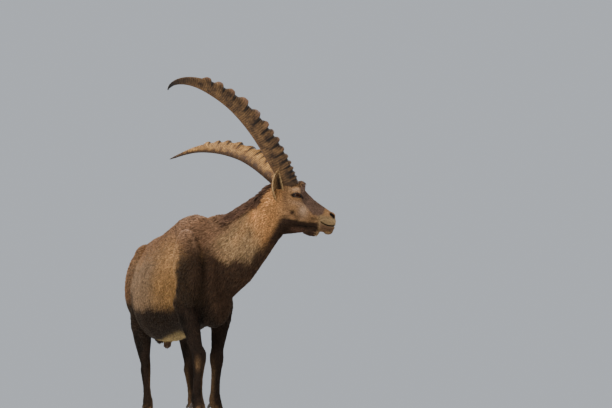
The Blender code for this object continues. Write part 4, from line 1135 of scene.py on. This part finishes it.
def tuftTree():
    tree, given, end = newTree("coatTufts", "GeometryNodeTree", [
        ("Geometry", "Geometry"), ("Tuft", "Object"), ("Density", "Float", 40000.0),
        ("Length", "Float", 0.02), ("Width", "Float", 0.003), ("Lift", "Float", 0.1),
        ("Seed", "Int", 0), ("Material", "Material")], [("Geometry", "Geometry")])

    def named(name, kind="FLOAT_VECTOR"):
        return add(tree, "GeometryNodeInputNamedAttribute", {"Name": name}, data_type=kind).outputs[0]

    def store(geometry, name, value, kind, domain):
        inputs = {"Geometry": geometry, "Name": name, "Value": value}
        return add(tree, "GeometryNodeStoreNamedAttribute", inputs, data_type=kind, domain=domain).outputs[0]

    dense = calc(tree, "MULTIPLY", named("share", "FLOAT"), given["Density"])
    scatter = add(tree, "GeometryNodeDistributePointsOnFaces",
                  {"Mesh": given["Geometry"], "Density": dense, "Seed": given["Seed"]})
    roots = store(scatter.outputs["Points"], "rootUv", named("OFBake"), "FLOAT_VECTOR", "POINT")
    # Each tuft's X axis lies along the coat, lifted a little and turned by a random amount
    axes = {"Primary Axis": scatter.outputs["Normal"], "Secondary Axis": named("lie")}
    face = add(tree, "FunctionNodeAxesToRotation", axes, primary_axis="Z", secondary_axis="X")
    spread = {0: tuple(-v for v in coatSetting["wobble"]), 1: coatSetting["wobble"], "Seed": given["Seed"]}
    wobble = add(tree, "FunctionNodeRandomValue", spread, data_type="FLOAT_VECTOR")
    raised = add(tree, "ShaderNodeCombineXYZ", {"Y": calc(tree, "MULTIPLY", given["Lift"], -1.0)})
    turned = add(tree, "ShaderNodeVectorMath", {0: wobble.outputs[0], 1: raised.outputs[0]}, operation="ADD")
    euler = add(tree, "FunctionNodeEulerToRotation", {0: turned.outputs[0]})
    turns = {"Rotation": face.outputs[0], "Rotate By": euler.outputs[0]}
    spun = add(tree, "FunctionNodeRotateRotation", turns, rotation_space="LOCAL")
    low, high = coatSetting["sizeRange"]
    vary = add(tree, "FunctionNodeRandomValue", {2: low, 3: high, "Seed": given["Seed"]}, data_type="FLOAT")
    size = calc(tree, "MULTIPLY", vary.outputs[1], named("tuftSize", "FLOAT"))
    long, wide = (calc(tree, "MULTIPLY", size, given[side]) for side in ("Length", "Width"))
    scale = add(tree, "ShaderNodeCombineXYZ", {"X": long, "Y": wide, "Z": long})
    blade = add(tree, "GeometryNodeObjectInfo", {"Object": given["Tuft"]})
    grown = add(tree, "GeometryNodeInstanceOnPoints",
                {"Points": roots, "Instance": blade.outputs["Geometry"], "Rotation": spun.outputs[0],
                 "Scale": scale.outputs[0]})
    tone = add(tree, "FunctionNodeRandomValue", {2: 0.0, 3: 1.0, "Seed": 17}, data_type="FLOAT")
    toned = store(grown.outputs[0], "tuftTone", tone.outputs[1], "FLOAT", "INSTANCE")
    real = add(tree, "GeometryNodeRealizeInstances", {"Geometry": toned})
    # A tuft's own map is a small patch around its root's place on the host's map
    patch = add(tree, "ShaderNodeVectorMath", {0: named("rootUv"), 1: scaled(tree, named("tuftUv"), 0.003)},
                operation="ADD")
    mapped = store(real.outputs[0], "OFBake", patch.outputs[0], "FLOAT2", "CORNER")
    painted = add(tree, "GeometryNodeSetMaterial", {"Geometry": mapped, "Material": given["Material"]})
    wire(tree, end, {"Geometry": painted.outputs[0]})
    return tree


coatTree = tuftTree()


def grow(name, host, share, lie, size=None, kind=None):
    count, length, width, lift, seed, bend = coatSetting[kind or name]
    blade = bladeMesh(bend)
    setAttribute(host.data, "share", "FLOAT", share)
    setAttribute(host.data, "tuftSize", "FLOAT", np.ones(len(share)) if size is None else size)
    setAttribute(host.data, "lie", "FLOAT_VECTOR", lie)
    piece = newPiece(name, host.data.copy())
    rule = piece.modifiers.new("rule", "NODES")
    rule.node_group = coatTree
    values = {"Tuft": blade, "Density": float(count) * (0.5 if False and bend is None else 1.0),
              "Length": length, "Width": width, "Lift": math.radians(lift), "Seed": seed,
              "Material": tuftMaterial}
    for item in coatTree.interface.items_tree:
        if item.in_out == "INPUT" and item.name in values:
            rule[item.identifier] = values[item.name]
    applied(piece)
    dropAttributes(piece.data, "rootUv", "tuftUv", "lie", "share", "tuftSize")
    dropAttributes(host.data, "lie", "share", "tuftSize")
    bpy.data.objects.remove(blade, do_unlink=True)
    print(name, sum(len(f.vertices) - 2 for f in piece.data.polygons), "triangles")
    return piece


# Where each part of the coat grows on the skin, and how long it is
q = toHead(points)
w = bothSides(q)
hx, off, hz, z = q[:, 0], w[:, 1], q[:, 2], points[:, 2]
local = points - shiftArray
upNeck, crown, neckAway = neckSpace(local)
onHead = headMask(q, -0.10, -0.05, -0.32, -0.25)
onLeg = ease(0.085, 0.060, legDistance(points)) * ease(0.46, 0.40, z)
onNeck = ease(0.06, 0.14, points[:, 0] - shift[0] + 0.6 * (points[:, 1] - shift[1])) * (z > 0.38)
fromEye = w - np.array(headSetting["eyeAt"])
clearEye = np.where(np.linalg.norm(fromEye, axis=1) < 0.034, ease(0.14, 0.34, lidGap(fromEye)), 1.0)
clearMouth = np.where(hx > 0.138, ease(0.0025, 0.006, np.abs(hz - mouthLine(hx))), 1)
clearNostril = 1 - nostrilMask(w, 0.0150, 0.0078) * ease(0.004, 0.012, off)
clearFace = clearEye * (1 - ease(0.195, 0.206, hx) * 0.6) * clearMouth * ease(0.3, 0.8, clearNostril)
lie = lieOf(points, normals)
headLengths = 1.0 + 0.5 * ease(0.02, -0.08, hx) - 0.35 * ease(0.10, 0.18, hx)
legLengths = 1.0 - 0.25 * ease(0.25, 0.08, z) + 0.3 * ease(0.30, 0.42, z)
aboveHoof = ease(0.040, 0.052, z + 0.012 * ease(-0.3, 0.6, normals[:, 0]))
coats = [
    grow("coatHead", skin, onHead * clearFace, lie, headLengths),
    grow("coatLegs", skin, (1 - onHead) * onLeg * aboveHoof, lie, legLengths),
    grow("coatNeck", skin, (1 - onHead) * (1 - onLeg) * onNeck, lie),
    grow("coatBody", skin, (1 - onHead) * (1 - onLeg) * (1 - onNeck), lie),
]
crest = ease(0.47, 0.62, upNeck) * ease(0.74, 0.88, crown) * ease(0.16, 0.13, neckAway)
crest = np.maximum(crest * ease(0.01, -0.02, hx), ease(-0.115, -0.095, hx) * ease(0.0, -0.02, hx)
                   * ease(0.045, 0.030, off) * ease(-0.09, -0.06, hz))
forelock = ease(0.018, 0.026, hx) * ease(0.066, 0.056, hx) * ease(0.036, 0.026, off) * ease(-0.05, -0.03, hz)
beard = ease(0.078, 0.090, hx) * ease(0.154, 0.142, hx) * ease(0.026, 0.016, off) * ease(-0.190, -0.200, hz)
neckRun = np.array(neckRows[-1][0]) - np.array(neckRows[2][0])
neckRun /= np.linalg.norm(neckRun)
neckUp = np.cross(neckRun, np.cross((0, 0, 1), neckRun))


def fanned(ahead, spread, high):  # a way that spreads from the head's middle plane
    way = np.stack([np.full(len(q), ahead), q[:, 1] * spread, np.full(len(q), high)], axis=1)
    return alongSurface(way @ headTurnArray.T, normals)


coats += [grow("crestLocks", skin, crest, alongSurface(0.30 * neckUp - neckRun, normals)),
          grow("forelockLocks", skin, forelock, fanned(0.60, 5, -0.45)),
          grow("beardLocks", skin, beard, fanned(-0.90, 4, -0.30))]
for side, ear in ears.items():
    spots = pointsOf(ear.data)
    way = np.array(placed(Vector(earSetting["axis"]), side) - placed(Vector(), side))
    coats.append(grow(ear.name + "Tufts", ear, ease(0.0, 0.2, (spots - spots.min(axis=0))[:, 2] / 0.12),
                      alongSurface(way, normalsOf(ear.data)), kind="earTufts"))
print("coat grown")

# Tail: a short core under long dark locks
tailSetting = {
    "at": -0.78,  # where its heading is taken from the spine
    "root": (-0.775, 0.0, 0.772),
    "length": 0.100,
    "widths": (0.034, 0.036, 0.034, 0.026, 0.006),
    "depths": (0.030, 0.028, 0.024, 0.018, 0.005),
    "coat": 0.002,  # how far the core lies inside the solid
    "rows": 24,
    "sides": 28,
}
tailHeading = spine(tailSetting["at"])[1]


def makeTail():
    s = tailSetting
    root, back, left = shift + beside(*s["root"]), -facing(tailHeading), leftOf(tailHeading)
    rings = []
    for i in range(s["rows"] + 1):
        t = -0.12 + 1.12 * i / s["rows"]
        u = max(t, 0.0)
        spot = root + back * (0.048 * math.sin(1.7 * t)) - rise(s["length"] * 0.9 * u * u)
        wide, thick = (0.5 * smoothAt(s[key], u) - s["coat"] * (1 - u) for key in ("widths", "depths"))
        slope = math.atan2(s["length"] * 1.8 * u, 0.082 * math.cos(1.7 * u))
        along = back * math.cos(slope) - rise(math.sin(slope))
        rings.append(ovalRing(spot, left, left.cross(along), wide, thick, s["sides"]))
    core = loft("tailCore", rings)
    unwrap(core)
    tones = np.tile(coatTones["tail"], (len(core.data.vertices), 1))
    setAttribute(core.data, "coatColour", "FLOAT_COLOR", tones)
    core.data.materials.append(skinMaterial)
    return core


tail = makeTail()
tailPoints, tailBack = pointsOf(tail.data), -np.array(facing(tailHeading), dtype=float)
drop = ease(0.80, 0.74, tailPoints[:, 2])[:, None]
tailWay = tailBack * (1 - drop) * 0.8 + tailBack * 0.12 + np.array((0, 0, -1.0)) * (0.15 + drop)
tailLocks = grow("tailLocks", tail, ease(0.80, 0.775, tailPoints[:, 2]),
                 alongSurface(tailWay, normalsOf(tail.data)))

# Horns. Lift and splay are the angles of the horn's line, by powers of the place along it.
hornSetting = {
    "length": {1: 0.722, -1: 0.821},  # along the curve, by side: 1 is left and -1 is right
    "root": (0.000, 0.038, 0.000),
    "lift": (121.9, 41.5, 36.5),
    "bend": {1: 20.0, -1: 25.0},  # the lift's third power
    "hook": {1: -24.0, -1: 38.0},  # a last turn near the tip
    "splay": (17.4, 63.4, -48.0),
    "depth": (0.076, 0.082, 0.074, 0.058, 0.041, 0.023, 0.008),
    "width": (0.058, 0.058, 0.052, 0.044, 0.034, 0.024, 0.008),
    "rear": {1: (0.000, 0.009, 0.015, 0.018, 0.012, 0.001, 0.000),  # extra depth behind
             -1: (0.000, 0.000, 0.001, 0.006, 0.012, 0.009, 0.001)},
    "sink": 0.022,  # how far the horn starts below the skin
    "twist": 18,  # degrees
    "knobs": ((0.008, 0.40), (0.030, 0.46), (0.056, 0.52), (0.086, 0.58), (0.122, 0.64),
              (0.166, 0.72), (0.220, 0.80), (0.266, 0.88), (0.316, 0.95), (0.388, 1.0),
              (0.482, 1.0), (0.568, 0.92), (0.636, 0.85), (0.712, 0.72)),  # place along the horn, size
    "rise": 0.0130,  # of the largest knob
    "rings": 420,
    "sides": 40,
    "tip": 0.004,
}


def hornDirection(t, side):
    s, u = hornSetting, max(t, 0.0)
    lift = s["lift"][0] + s["lift"][1] * u + s["lift"][2] * u * u + s["bend"][side] * u ** 3
    lift = math.radians(lift + s["hook"][side] * u ** 9)
    splay = math.radians(s["splay"][0] + s["splay"][1] * u + s["splay"][2] * u * u)
    return Vector((math.cos(lift) * math.cos(splay), math.sin(splay), math.sin(lift) * math.cos(splay)))


def knobRise(t):
    knobs, best = hornSetting["knobs"], 0.0
    for i, (at, size) in enumerate(knobs):
        before = at - knobs[i - 1][0] if i else 0.022
        after = knobs[i + 1][0] - at if i + 1 < len(knobs) else 0.075
        d = t - at
        shape = ease(-0.30 * before, -0.10 * before, d) * ease(0.44 * after, 0.06 * after, d)
        best = max(best, size * float(shape))
    return best


def hornLine(side, fine=6, below=6):
    s = hornSetting
    count, length, root = s["rings"] * fine, s["length"][side], Vector(s["root"])
    here, line = Vector(root), []
    for i in range(count + 1):
        if i % fine == 0:
            line.append((i / count, Vector(here)))
        here += hornDirection((i + 0.5) / count, side) * (length / count)
    way, start = hornDirection(0.0, side), -s["sink"] / length
    sunk = [(start * (1 - i / below), root + way * (length * start * (1 - i / below))) for i in range(below)]
    return sunk + line


def makeHorn(name, side):
    s = hornSetting
    length = s["length"][side]
    wave = np.random.default_rng(21 + side).uniform(0, 6.28, 16)
    rings, values, creaseShadows = [], [], []
    for t, centre in hornLine(side):
        u = max(t, 0.0)
        along = hornDirection(t, side)
        level = (Vector((0.0, 1.0, 0.0)) - along * along.y).normalized()
        across = turnBy(s["twist"] * min(u * 2.5, 1.0), along) @ level
        front = across.cross(along).normalized()
        taper = min(1.0, 0.20 + (1.0 - u) / 0.045) ** 0.5
        deep, wide = (taper * smoothAt(s[key], u) / 2 for key in ("depth", "width"))
        rear = smoothAt(s["rear"][side], u)
        rise = knobRise(t) * s["rise"]
        # Painted shadow under the steep root side of each knob
        near, far = (max(0.0, knobRise(t + ahead) - knobRise(t)) for ahead in (0.006, 0.012))
        creaseShadow = far + near * 0.5
        run = u * length
        root = math.exp(-run / 0.10)
        ring = []
        for i in range(s["sides"]):
            angle = 2 * math.pi * (i + 0.5) / s["sides"]
            a, b = superellipse(math.cos(angle), math.sin(angle), 2.6)
            pinch = 1.0 - 0.26 * max(-a, 0.0)
            knob = rise * max(a, 0.0) ** 1.3 * (1 + 0.22 * math.sin(3.1 * b + wave[4] + run * 60))
            # Growth rings, deepest near the root
            bend = run + 0.0006 * math.sin(3 * angle + wave[5]) + 0.0014 * math.sin(run / 0.021 + wave[6])
            sway = 0.8 * math.sin(run / 0.013 + wave[0])
            ridge = (0.0010 * root + 0.00022) * math.sin(bend / 0.0058 * 6.283 + sway)
            ridge += (0.0006 * root + 0.00015) * math.sin(bend / 0.0037 * 6.283 + wave[1])
            patch = math.sin(2 * angle + wave[2] + run * 17) * math.sin(run / 0.031 + wave[7])
            ridge *= (1 - u) ** 0.5 * (0.55 + 0.45 * patch)
            groove = 0.0006 * math.sin(4 * angle + wave[3] + 9 * u) * (1 - u)
            spot = centre + front * (a * (deep + ridge + groove) + knob - rear * max(-a, 0.0))
            spot += across * (b * (wide + ridge + groove) * pinch * (1 + 0.5 * knob / deep))
            ring.append(placed(spot, side))
            values.append((u, knob / s["rise"], a))
            creaseShadows.append(creaseShadow * max(a + 0.4, 0.0))
        rings.append(ring)
    bm = bmesh.new()
    rows = loftInto(bm, rings, closeEnds=False)
    tip = hornDirection(1.0, side)
    tip = headTurn @ Vector((tip.x, tip.y * side, tip.z)) * s["tip"]
    for row, push in ((rows[0], Vector()), (rows[-1], tip)):
        fanTo(bm, row, sum((v.co for v in row), Vector()) / len(row) + push)
    horn = fromBmesh("horn" + name.capitalize() + "Shell", bm)
    values += [(0, 0, 0), (1, 0, 0)]  # the middles of the two end fans
    setAttribute(horn.data, "hornPlace", "FLOAT_VECTOR", np.array(values, dtype=float))
    setAttribute(horn.data, "hornCrease", "FLOAT", np.array(creaseShadows + [0, 0], dtype=float))
    print(horn.name, len(horn.data.polygons), "faces")
    return horn


# The horns share one colour: the left one is painted lighter and golden as painted light, and the right one
# darker olive brown as painted shade
hornTones = {
    1: {"name": "hornGolden", "low": linear(92, 58, 26), "high": linear(190, 142, 80),
        "back": linear(52, 33, 20), "knob": linear(70, 46, 28), "creaseShadow": linear(36, 23, 15),
        "tip": linear(56, 42, 34), "rootShare": 0.35, "backFrom": -0.15, "backTo": -0.65, "lines": 0.50},
    -1: {"name": "hornOlive", "low": linear(60, 41, 26), "high": linear(134, 100, 64),
         "back": linear(96, 66, 38), "knob": linear(148, 108, 82), "creaseShadow": linear(22, 15, 11),
         "tip": linear(26, 19, 16), "rootShare": 0.40, "backFrom": -0.55, "backTo": -0.75, "lines": 0.34},
}


def hornMaterial(tones):
    made, tree, shader = newMaterial(tones["name"])
    place = objectPlace(tree)
    run, knob, front = partsOf(tree, attributeOf(tree, "hornPlace", "Vector"))
    noise = noiseAt(tree, place, 38.0, 6.0, 0.65)
    fine = noiseAt(tree, place, 260.0, 4.0)
    # Growth lines across the horn, broken up by noise
    line = calc(tree, "SINE", calc(tree, "MULTIPLY_ADD", run, 500.0, calc(tree, "MULTIPLY", noise, 9.0)))
    broken = calc(tree, "MULTIPLY", line, fine)
    share = remap(tree, noiseAt(tree, place, 75.0, 3.0), 0.36, 0.58, 0.15, 1.0)
    lines = remap(tree, calc(tree, "MULTIPLY", broken, share), -0.35, 0.35,
                  1.0 - tones["lines"], 1.0 + 0.78 * tones["lines"])
    colour = scaled(tree, twoTones(tree, noise, tones["low"], tones["high"], 0.34, 0.66), lines)
    ragged = calc(tree, "MULTIPLY_ADD", noise, 0.5, front)
    for tone, mask in (
            # The back: on the left horn, painted shade of its underside; on the right horn, a lighter orange
            # strip
            ("back", remap(tree, ragged, tones["backFrom"], tones["backTo"], 0.0, 0.9)),
            # Raised knobs: painted highlight on the right horn, painted shade on the left horn
            ("knob", remap(tree, knob, 0.30, 0.95, 0.0, 0.75)),
            # Painted shadow in the crease on each knob's root side, then darker towards the horn's root with
            # the same tone
            ("creaseShadow", remap(tree, attributeOf(tree, "hornCrease"), 0.04, 0.45, 0.0, 0.85)),
            ("creaseShadow", remap(tree, run, 0.10, 0.0, 0.0, tones["rootShare"])),
            ("tip", remap(tree, run, 0.80, 0.97))):
        colour = over(tree, mask, colour, tones[tone])
    wire(tree, shader, {"Base Color": colour, "Roughness": remap(tree, noise, 0.0, 1.0, 0.50, 0.74),
                        "Normal": bumpOf(tree, calc(tree, "ADD", broken, fine), 0.45, 0.0012),
                        "Specular IOR Level": 0.30})
    return made


horns = {1: makeHorn("left", 1), -1: makeHorn("right", -1)}
for side, horn in horns.items():
    horn.data.materials.append(hornMaterial(hornTones[side]))

# Eyes and lids
eyeSetting = {
    "radius": 0.0193,
    "iris": (0.0112, 0.0124),  # where the iris ends and the dark white begins
    "pupil": (0.0076, 0.0034),
    "irisDark": linear(30, 16, 8),
    "irisAmber": linear(92, 54, 22),
    "pupilColour": (0.004, 0.003, 0.003),
    "white": linear(34, 22, 16),
    "lidThick": (0.0013, 0.0011),  # all round, and more on top
}


def makeEye(name, side):
    bm = bmesh.new()
    bmesh.ops.create_uvsphere(bm, u_segments=64, v_segments=40, radius=eyeSetting["radius"])
    middle, gaze = Vector(headSetting["eyeAt"]), []
    for vert in bm.verts:
        spot = Vector((vert.co.x, vert.co.y * side, vert.co.z))
        gaze.append((spot.x, spot.z, spot.y))
        vert.co = placed(middle + spot, side)
    eye = fromBmesh("eye" + name.capitalize() + "Ball", bm)
    setAttribute(eye.data, "gaze", "FLOAT_VECTOR", np.array(gaze))
    return eye


def eyeMaterial():
    s = eyeSetting
    made, tree, shader = newMaterial("amberEye")
    gaze = attributeOf(tree, "gaze", "Vector")
    x, y, _ = partsOf(tree, gaze)
    iris = twoTones(tree, noiseAt(tree, gaze, 900.0, 4.0), s["irisDark"], s["irisAmber"], 0.35, 0.68)
    oval = lengthOf(tree, calc(tree, "DIVIDE", x, s["pupil"][0]), calc(tree, "DIVIDE", y, s["pupil"][1]))
    inner = over(tree, remap(tree, oval, 0.92, 1.06), s["pupilColour"], iris)
    whole = over(tree, remap(tree, lengthOf(tree, x, y), *s["iris"]), inner, s["white"])
    wire(tree, shader, {"Base Color": whole, "Roughness": 0.10, "Specular IOR Level": 0.10})
    return made


def makeLids(name, side, count=64, around=10):
    s, thin = openingSetting["eye"], eyeSetting["lidThick"]
    path = []
    for u, v in circle(count):
        x = u * s["half"] * 1.03
        tall = (s["upper"] if v > 0 else s["lower"]) * max((1 - abs(u) ** 2.2) ** 0.8, 0.0)
        z = math.copysign(tall, v) - 0.0030 * u
        path.append(Vector((x, math.sqrt((eyeSetting["radius"] + 0.0010) ** 2 - x * x - z * z), z)))
    rings = []
    for i, spot in enumerate(path):
        out = spot.normalized()
        across = (path[(i + 1) % count] - path[i - 1]).normalized().cross(out).normalized()
        thick = thin[0] + thin[1] * max(math.sin(2 * math.pi * i / count), 0.0)
        ring = ovalRing(Vector(headSetting["eyeAt"]) + spot, across, out, thick, thick * 0.9, around)
        rings.append([placed(point, side) for point in ring])
    bm = bmesh.new()
    rows = loftInto(bm, rings, closeEnds=False)
    for k in range(around):
        bm.faces.new((rows[-1][k], rows[-1][(k + 1) % around], rows[0][(k + 1) % around], rows[0][k]))
    return fromBmesh("lids" + name.capitalize(), bm)


def lidMaterial():
    made, tree, shader = newMaterial("darkLid")
    noise = noiseAt(tree, objectPlace(tree), 600.0, 3.0)
    wire(tree, shader, {"Base Color": twoTones(tree, noise, linear(16, 11, 9), linear(44, 32, 26)),
                        "Normal": bumpOf(tree, noise, 0.4, 0.0006), "Roughness": 0.42})
    return made


lids = {1: makeLids("left", 1), -1: makeLids("right", -1)}
eyes = {1: makeEye("left", 1), -1: makeEye("right", -1)}
darkLid, amberEye = lidMaterial(), eyeMaterial()
for side in (1, -1):
    lids[side].data.materials.append(darkLid)
    eyes[side].data.materials.append(amberEye)
print("eyes and lids")

# Hooves: two claws and two dewclaws on each foot
hoofSetting = {
    "length": 0.070,
    "width": 0.029,
    "gap": 0.0020,
    "height": 0.048,
    "shrink": (1.0, 0.94, 0.86, 0.78),  # size from the ground up
    "back": (0.0, -0.0060, -0.0135, -0.022),  # lean of the front wall, from the ground up
    "inner": 0.55,  # a claw's flat inner side, as a part of its half width
    "dewLength": 0.034,
    "dewRadius": 0.0085,
    "low": linear(24, 19, 16),
    "high": linear(66, 52, 40),
}


def makeClaw(name, foot, heading, side):
    s = hoofSetting
    ahead, left, half = facing(heading), leftOf(heading), hoofSetting["width"] / 2
    rings = []
    for height in [0.0, 0.0015, 0.004] + [0.004 + 0.044 * (i + 1) / 18 for i in range(18)]:
        t = height / s["height"]
        shrink = smoothAt(s["shrink"], t) * (0.975 if height == 0 else 1.0)
        ripple = 0.00018 * math.sin(height / 0.0046 * 6.283)
        ring = []
        for u, v in circle(40):
            x = u * (s["length"] / 2 * shrink + ripple)
            y = v * (half * shrink + ripple) * (1.0 - 0.45 * max(u, 0.0) ** 1.5)
            out = max(y, -half * s["inner"] * shrink) + s["gap"] + half * s["inner"] + 0.05 * max(x, 0.0)
            spot = shift + foot + ahead * (x + smoothAt(s["back"], t) + 0.014)
            ring.append(spot + left * (side * out) + rise(height))
        rings.append(ring)
    bm = bmesh.new()
    loftInto(bm, rings)
    normal = (Vector((0, 0, 1)) - ahead * 0.32).normalized()  # the coronet slopes down behind
    cut = shift + foot + rise(legHeights["coronet"] - 0.006) + normal * 0.003
    bmesh.ops.bisect_plane(bm, geom=bm.verts[:] + bm.edges[:] + bm.faces[:], plane_co=cut, plane_no=normal,
                           clear_outer=True)
    bmesh.ops.holes_fill(bm, edges=[edge for edge in bm.edges if edge.is_boundary])
    splitCaps(bm)
    claw = fromBmesh(name, bm)
    claw.data.set_sharp_from_angle(angle=math.radians(50))
    return claw


def makeDewclaw(name, foot, heading, across):
    s, ahead, left = hoofSetting, facing(heading), leftOf(heading)
    root = shift + foot - ahead * 0.020 + left * (across * 0.012) + rise(0.066)
    way = (-ahead * 0.75 + left * (across * 0.25) + Vector((0, 0, -0.62))).normalized()
    side = way.cross(Vector((0, 0, 1))).normalized()
    rings = []
    for i in range(15):
        t = i / 14
        radius = s["dewRadius"] * smoothAt((0.96, 1.0, 0.94, 0.74, 0.30), t) + 0.00012 * math.sin(t * 40)
        rings.append(ovalRing(root + way * (s["dewLength"] * t), side, side.cross(way), radius, radius, 20))
    claw = loft(name, rings)
    claw.data.set_sharp_from_angle(angle=math.radians(60))
    return claw


def hoofMaterial():
    made, tree, shader = newMaterial("darkHoof")
    place = objectPlace(tree)
    height = partsOf(tree, place)[2]
    noise = noiseAt(tree, place, 70.0, 5.0)
    colour = twoTones(tree, noise, hoofSetting["low"], hoofSetting["high"], 0.35, 0.70)
    line = calc(tree, "SINE", calc(tree, "MULTIPLY", height, 1600.0))
    wire(tree, shader, {"Base Color": scaled(tree, colour, remap(tree, height, 0.0, 0.006, 1.8, 1.0)),
                        "Roughness": remap(tree, noise, 0.0, 1.0, 0.35, 0.6),
                        "Normal": bumpOf(tree, calc(tree, "ADD", line, noise), 0.14, 0.0006)})
    return made


darkHoof = hoofMaterial()
hooves = []
for (kind, name), leg in legs.items():
    foot = footOf(kind, leg)
    for across in (-1, 1):
        where = "outer" if across == leg["side"] else "inner"
        for make, part in ((makeClaw, "hoof"), (makeDewclaw, "dewclaw")):
            label = kind + name.capitalize() + where.capitalize() + part.capitalize()
            piece = make(label, foot, leg["heading"], across)
            piece.data.materials.append(darkHoof)
            hooves.append((piece, f"{kind}_{part}_{name}_{where}"))
print("hooves", len(hooves))


# What rides on what, and which solids each piece stands for

def carry(piece, *replaced, slot=None):
    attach(piece, "root")
    if replaced:
        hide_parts(*replaced)


legNodes = [kind + part + side for kind in ("fore", "hind") for part in ("_leg_", "_cannon_")
            for side in ("left", "right")]
carry(skin, "torso", "neck", "head", *legNodes, slot="coat")
for piece in coats:
    carry(piece, slot="coat")
carry(tail, "tail", slot="tail_coat")
carry(tailLocks, slot="tail_coat")
for side, name in ((1, "left"), (-1, "right")):
    carry(ears[side], "ear_" + name, slot="ear_coat")
    carry(horns[side], "horn_" + name, slot="horn")
    carry(eyes[side], "eye_" + name, slot="eye")
    carry(lids[side], slot="head_coat")
for piece, node in hooves:
    carry(piece, node, slot="hoof")

# Stage, light and camera
stageSetting = {
    "floor": 60.0,
    "floorColour": linear(226, 226, 224),
    "world": linear(214, 220, 228),
    "worldStrength": 0.72,
    # name, place, aim, size, power, colour
    "lights": (("key", (1.7, -3.3, 4.0), (0.0, 0.0, 0.8), 2.2, 250, (1.0, 0.97, 0.92)),
               ("rim", (-3.4, -1.0, 3.2), (-0.1, 0.0, 0.8), 1.8, 150, (1.0, 0.93, 0.82)),
               ("back", (-1.5, 3.4, 3.0), (0.0, 0.0, 0.9), 2.5, 70, (0.92, 0.96, 1.0))),
}
cameraSetting = {
    "at": (4.358, -1.398, 0.049),  # in trunk coordinates
    "azimuth": 66,
    "pitch": 11,
    "focalPixels": 1046,
    "widthPixels": 612,
    "sensor": 36,
}


def makeStage():
    s = stageSetting
    bm = bmesh.new()
    bmesh.ops.create_grid(bm, x_segments=1, y_segments=1, size=s["floor"] / 2)
    floor = fromBmesh("floor", bm)
    made, tree, shader = newMaterial("paleFloor")
    tint = remap(tree, noiseAt(tree, objectPlace(tree), 3.0, 3.0), 0.0, 1.0, 0.96, 1.04)
    wire(tree, shader, {"Base Color": scaled(tree, tuple(s["floorColour"]), tint), "Roughness": 0.9})
    floor.data.materials.append(made)
    world = bpy.data.worlds.new("paleStudio")
    world.use_nodes = True
    wire(world.node_tree, world.node_tree.nodes["Background"],
         {"Color": (*s["world"], 1), "Strength": s["worldStrength"]})
    bpy.context.scene.world = world


def areaLight(name, at, aim, size, power, colour):
    data = bpy.data.lights.new(name, "AREA")
    data.energy = power
    data.color = colour
    data.size = size
    lamp = newPiece(name, data)
    lamp.location = at
    lamp.rotation_euler = (Vector(aim) - Vector(at)).to_track_quat("-Z", "Y").to_euler()


def makeCamera():
    s = cameraSetting
    pitch, level = math.radians(s["pitch"]), leftOf(s["azimuth"])
    look = level * math.cos(pitch) + rise(math.sin(pitch))
    top = level * -math.sin(pitch) + rise(math.cos(pitch))
    data = bpy.data.cameras.new("photoView")
    data.sensor_width = s["sensor"]
    data.lens = s["focalPixels"] / s["widthPixels"] * s["sensor"]
    camera = newPiece("photoView", data)
    turn = Matrix((facing(s["azimuth"]), top, -look)).transposed().to_4x4()
    camera.matrix_world = Matrix.Translation(shift + Vector(s["at"])) @ turn
    bpy.context.scene.camera = camera


makeStage()
for light in stageSetting["lights"]:
    areaLight(*light)
makeCamera()
print("stage, light and camera")
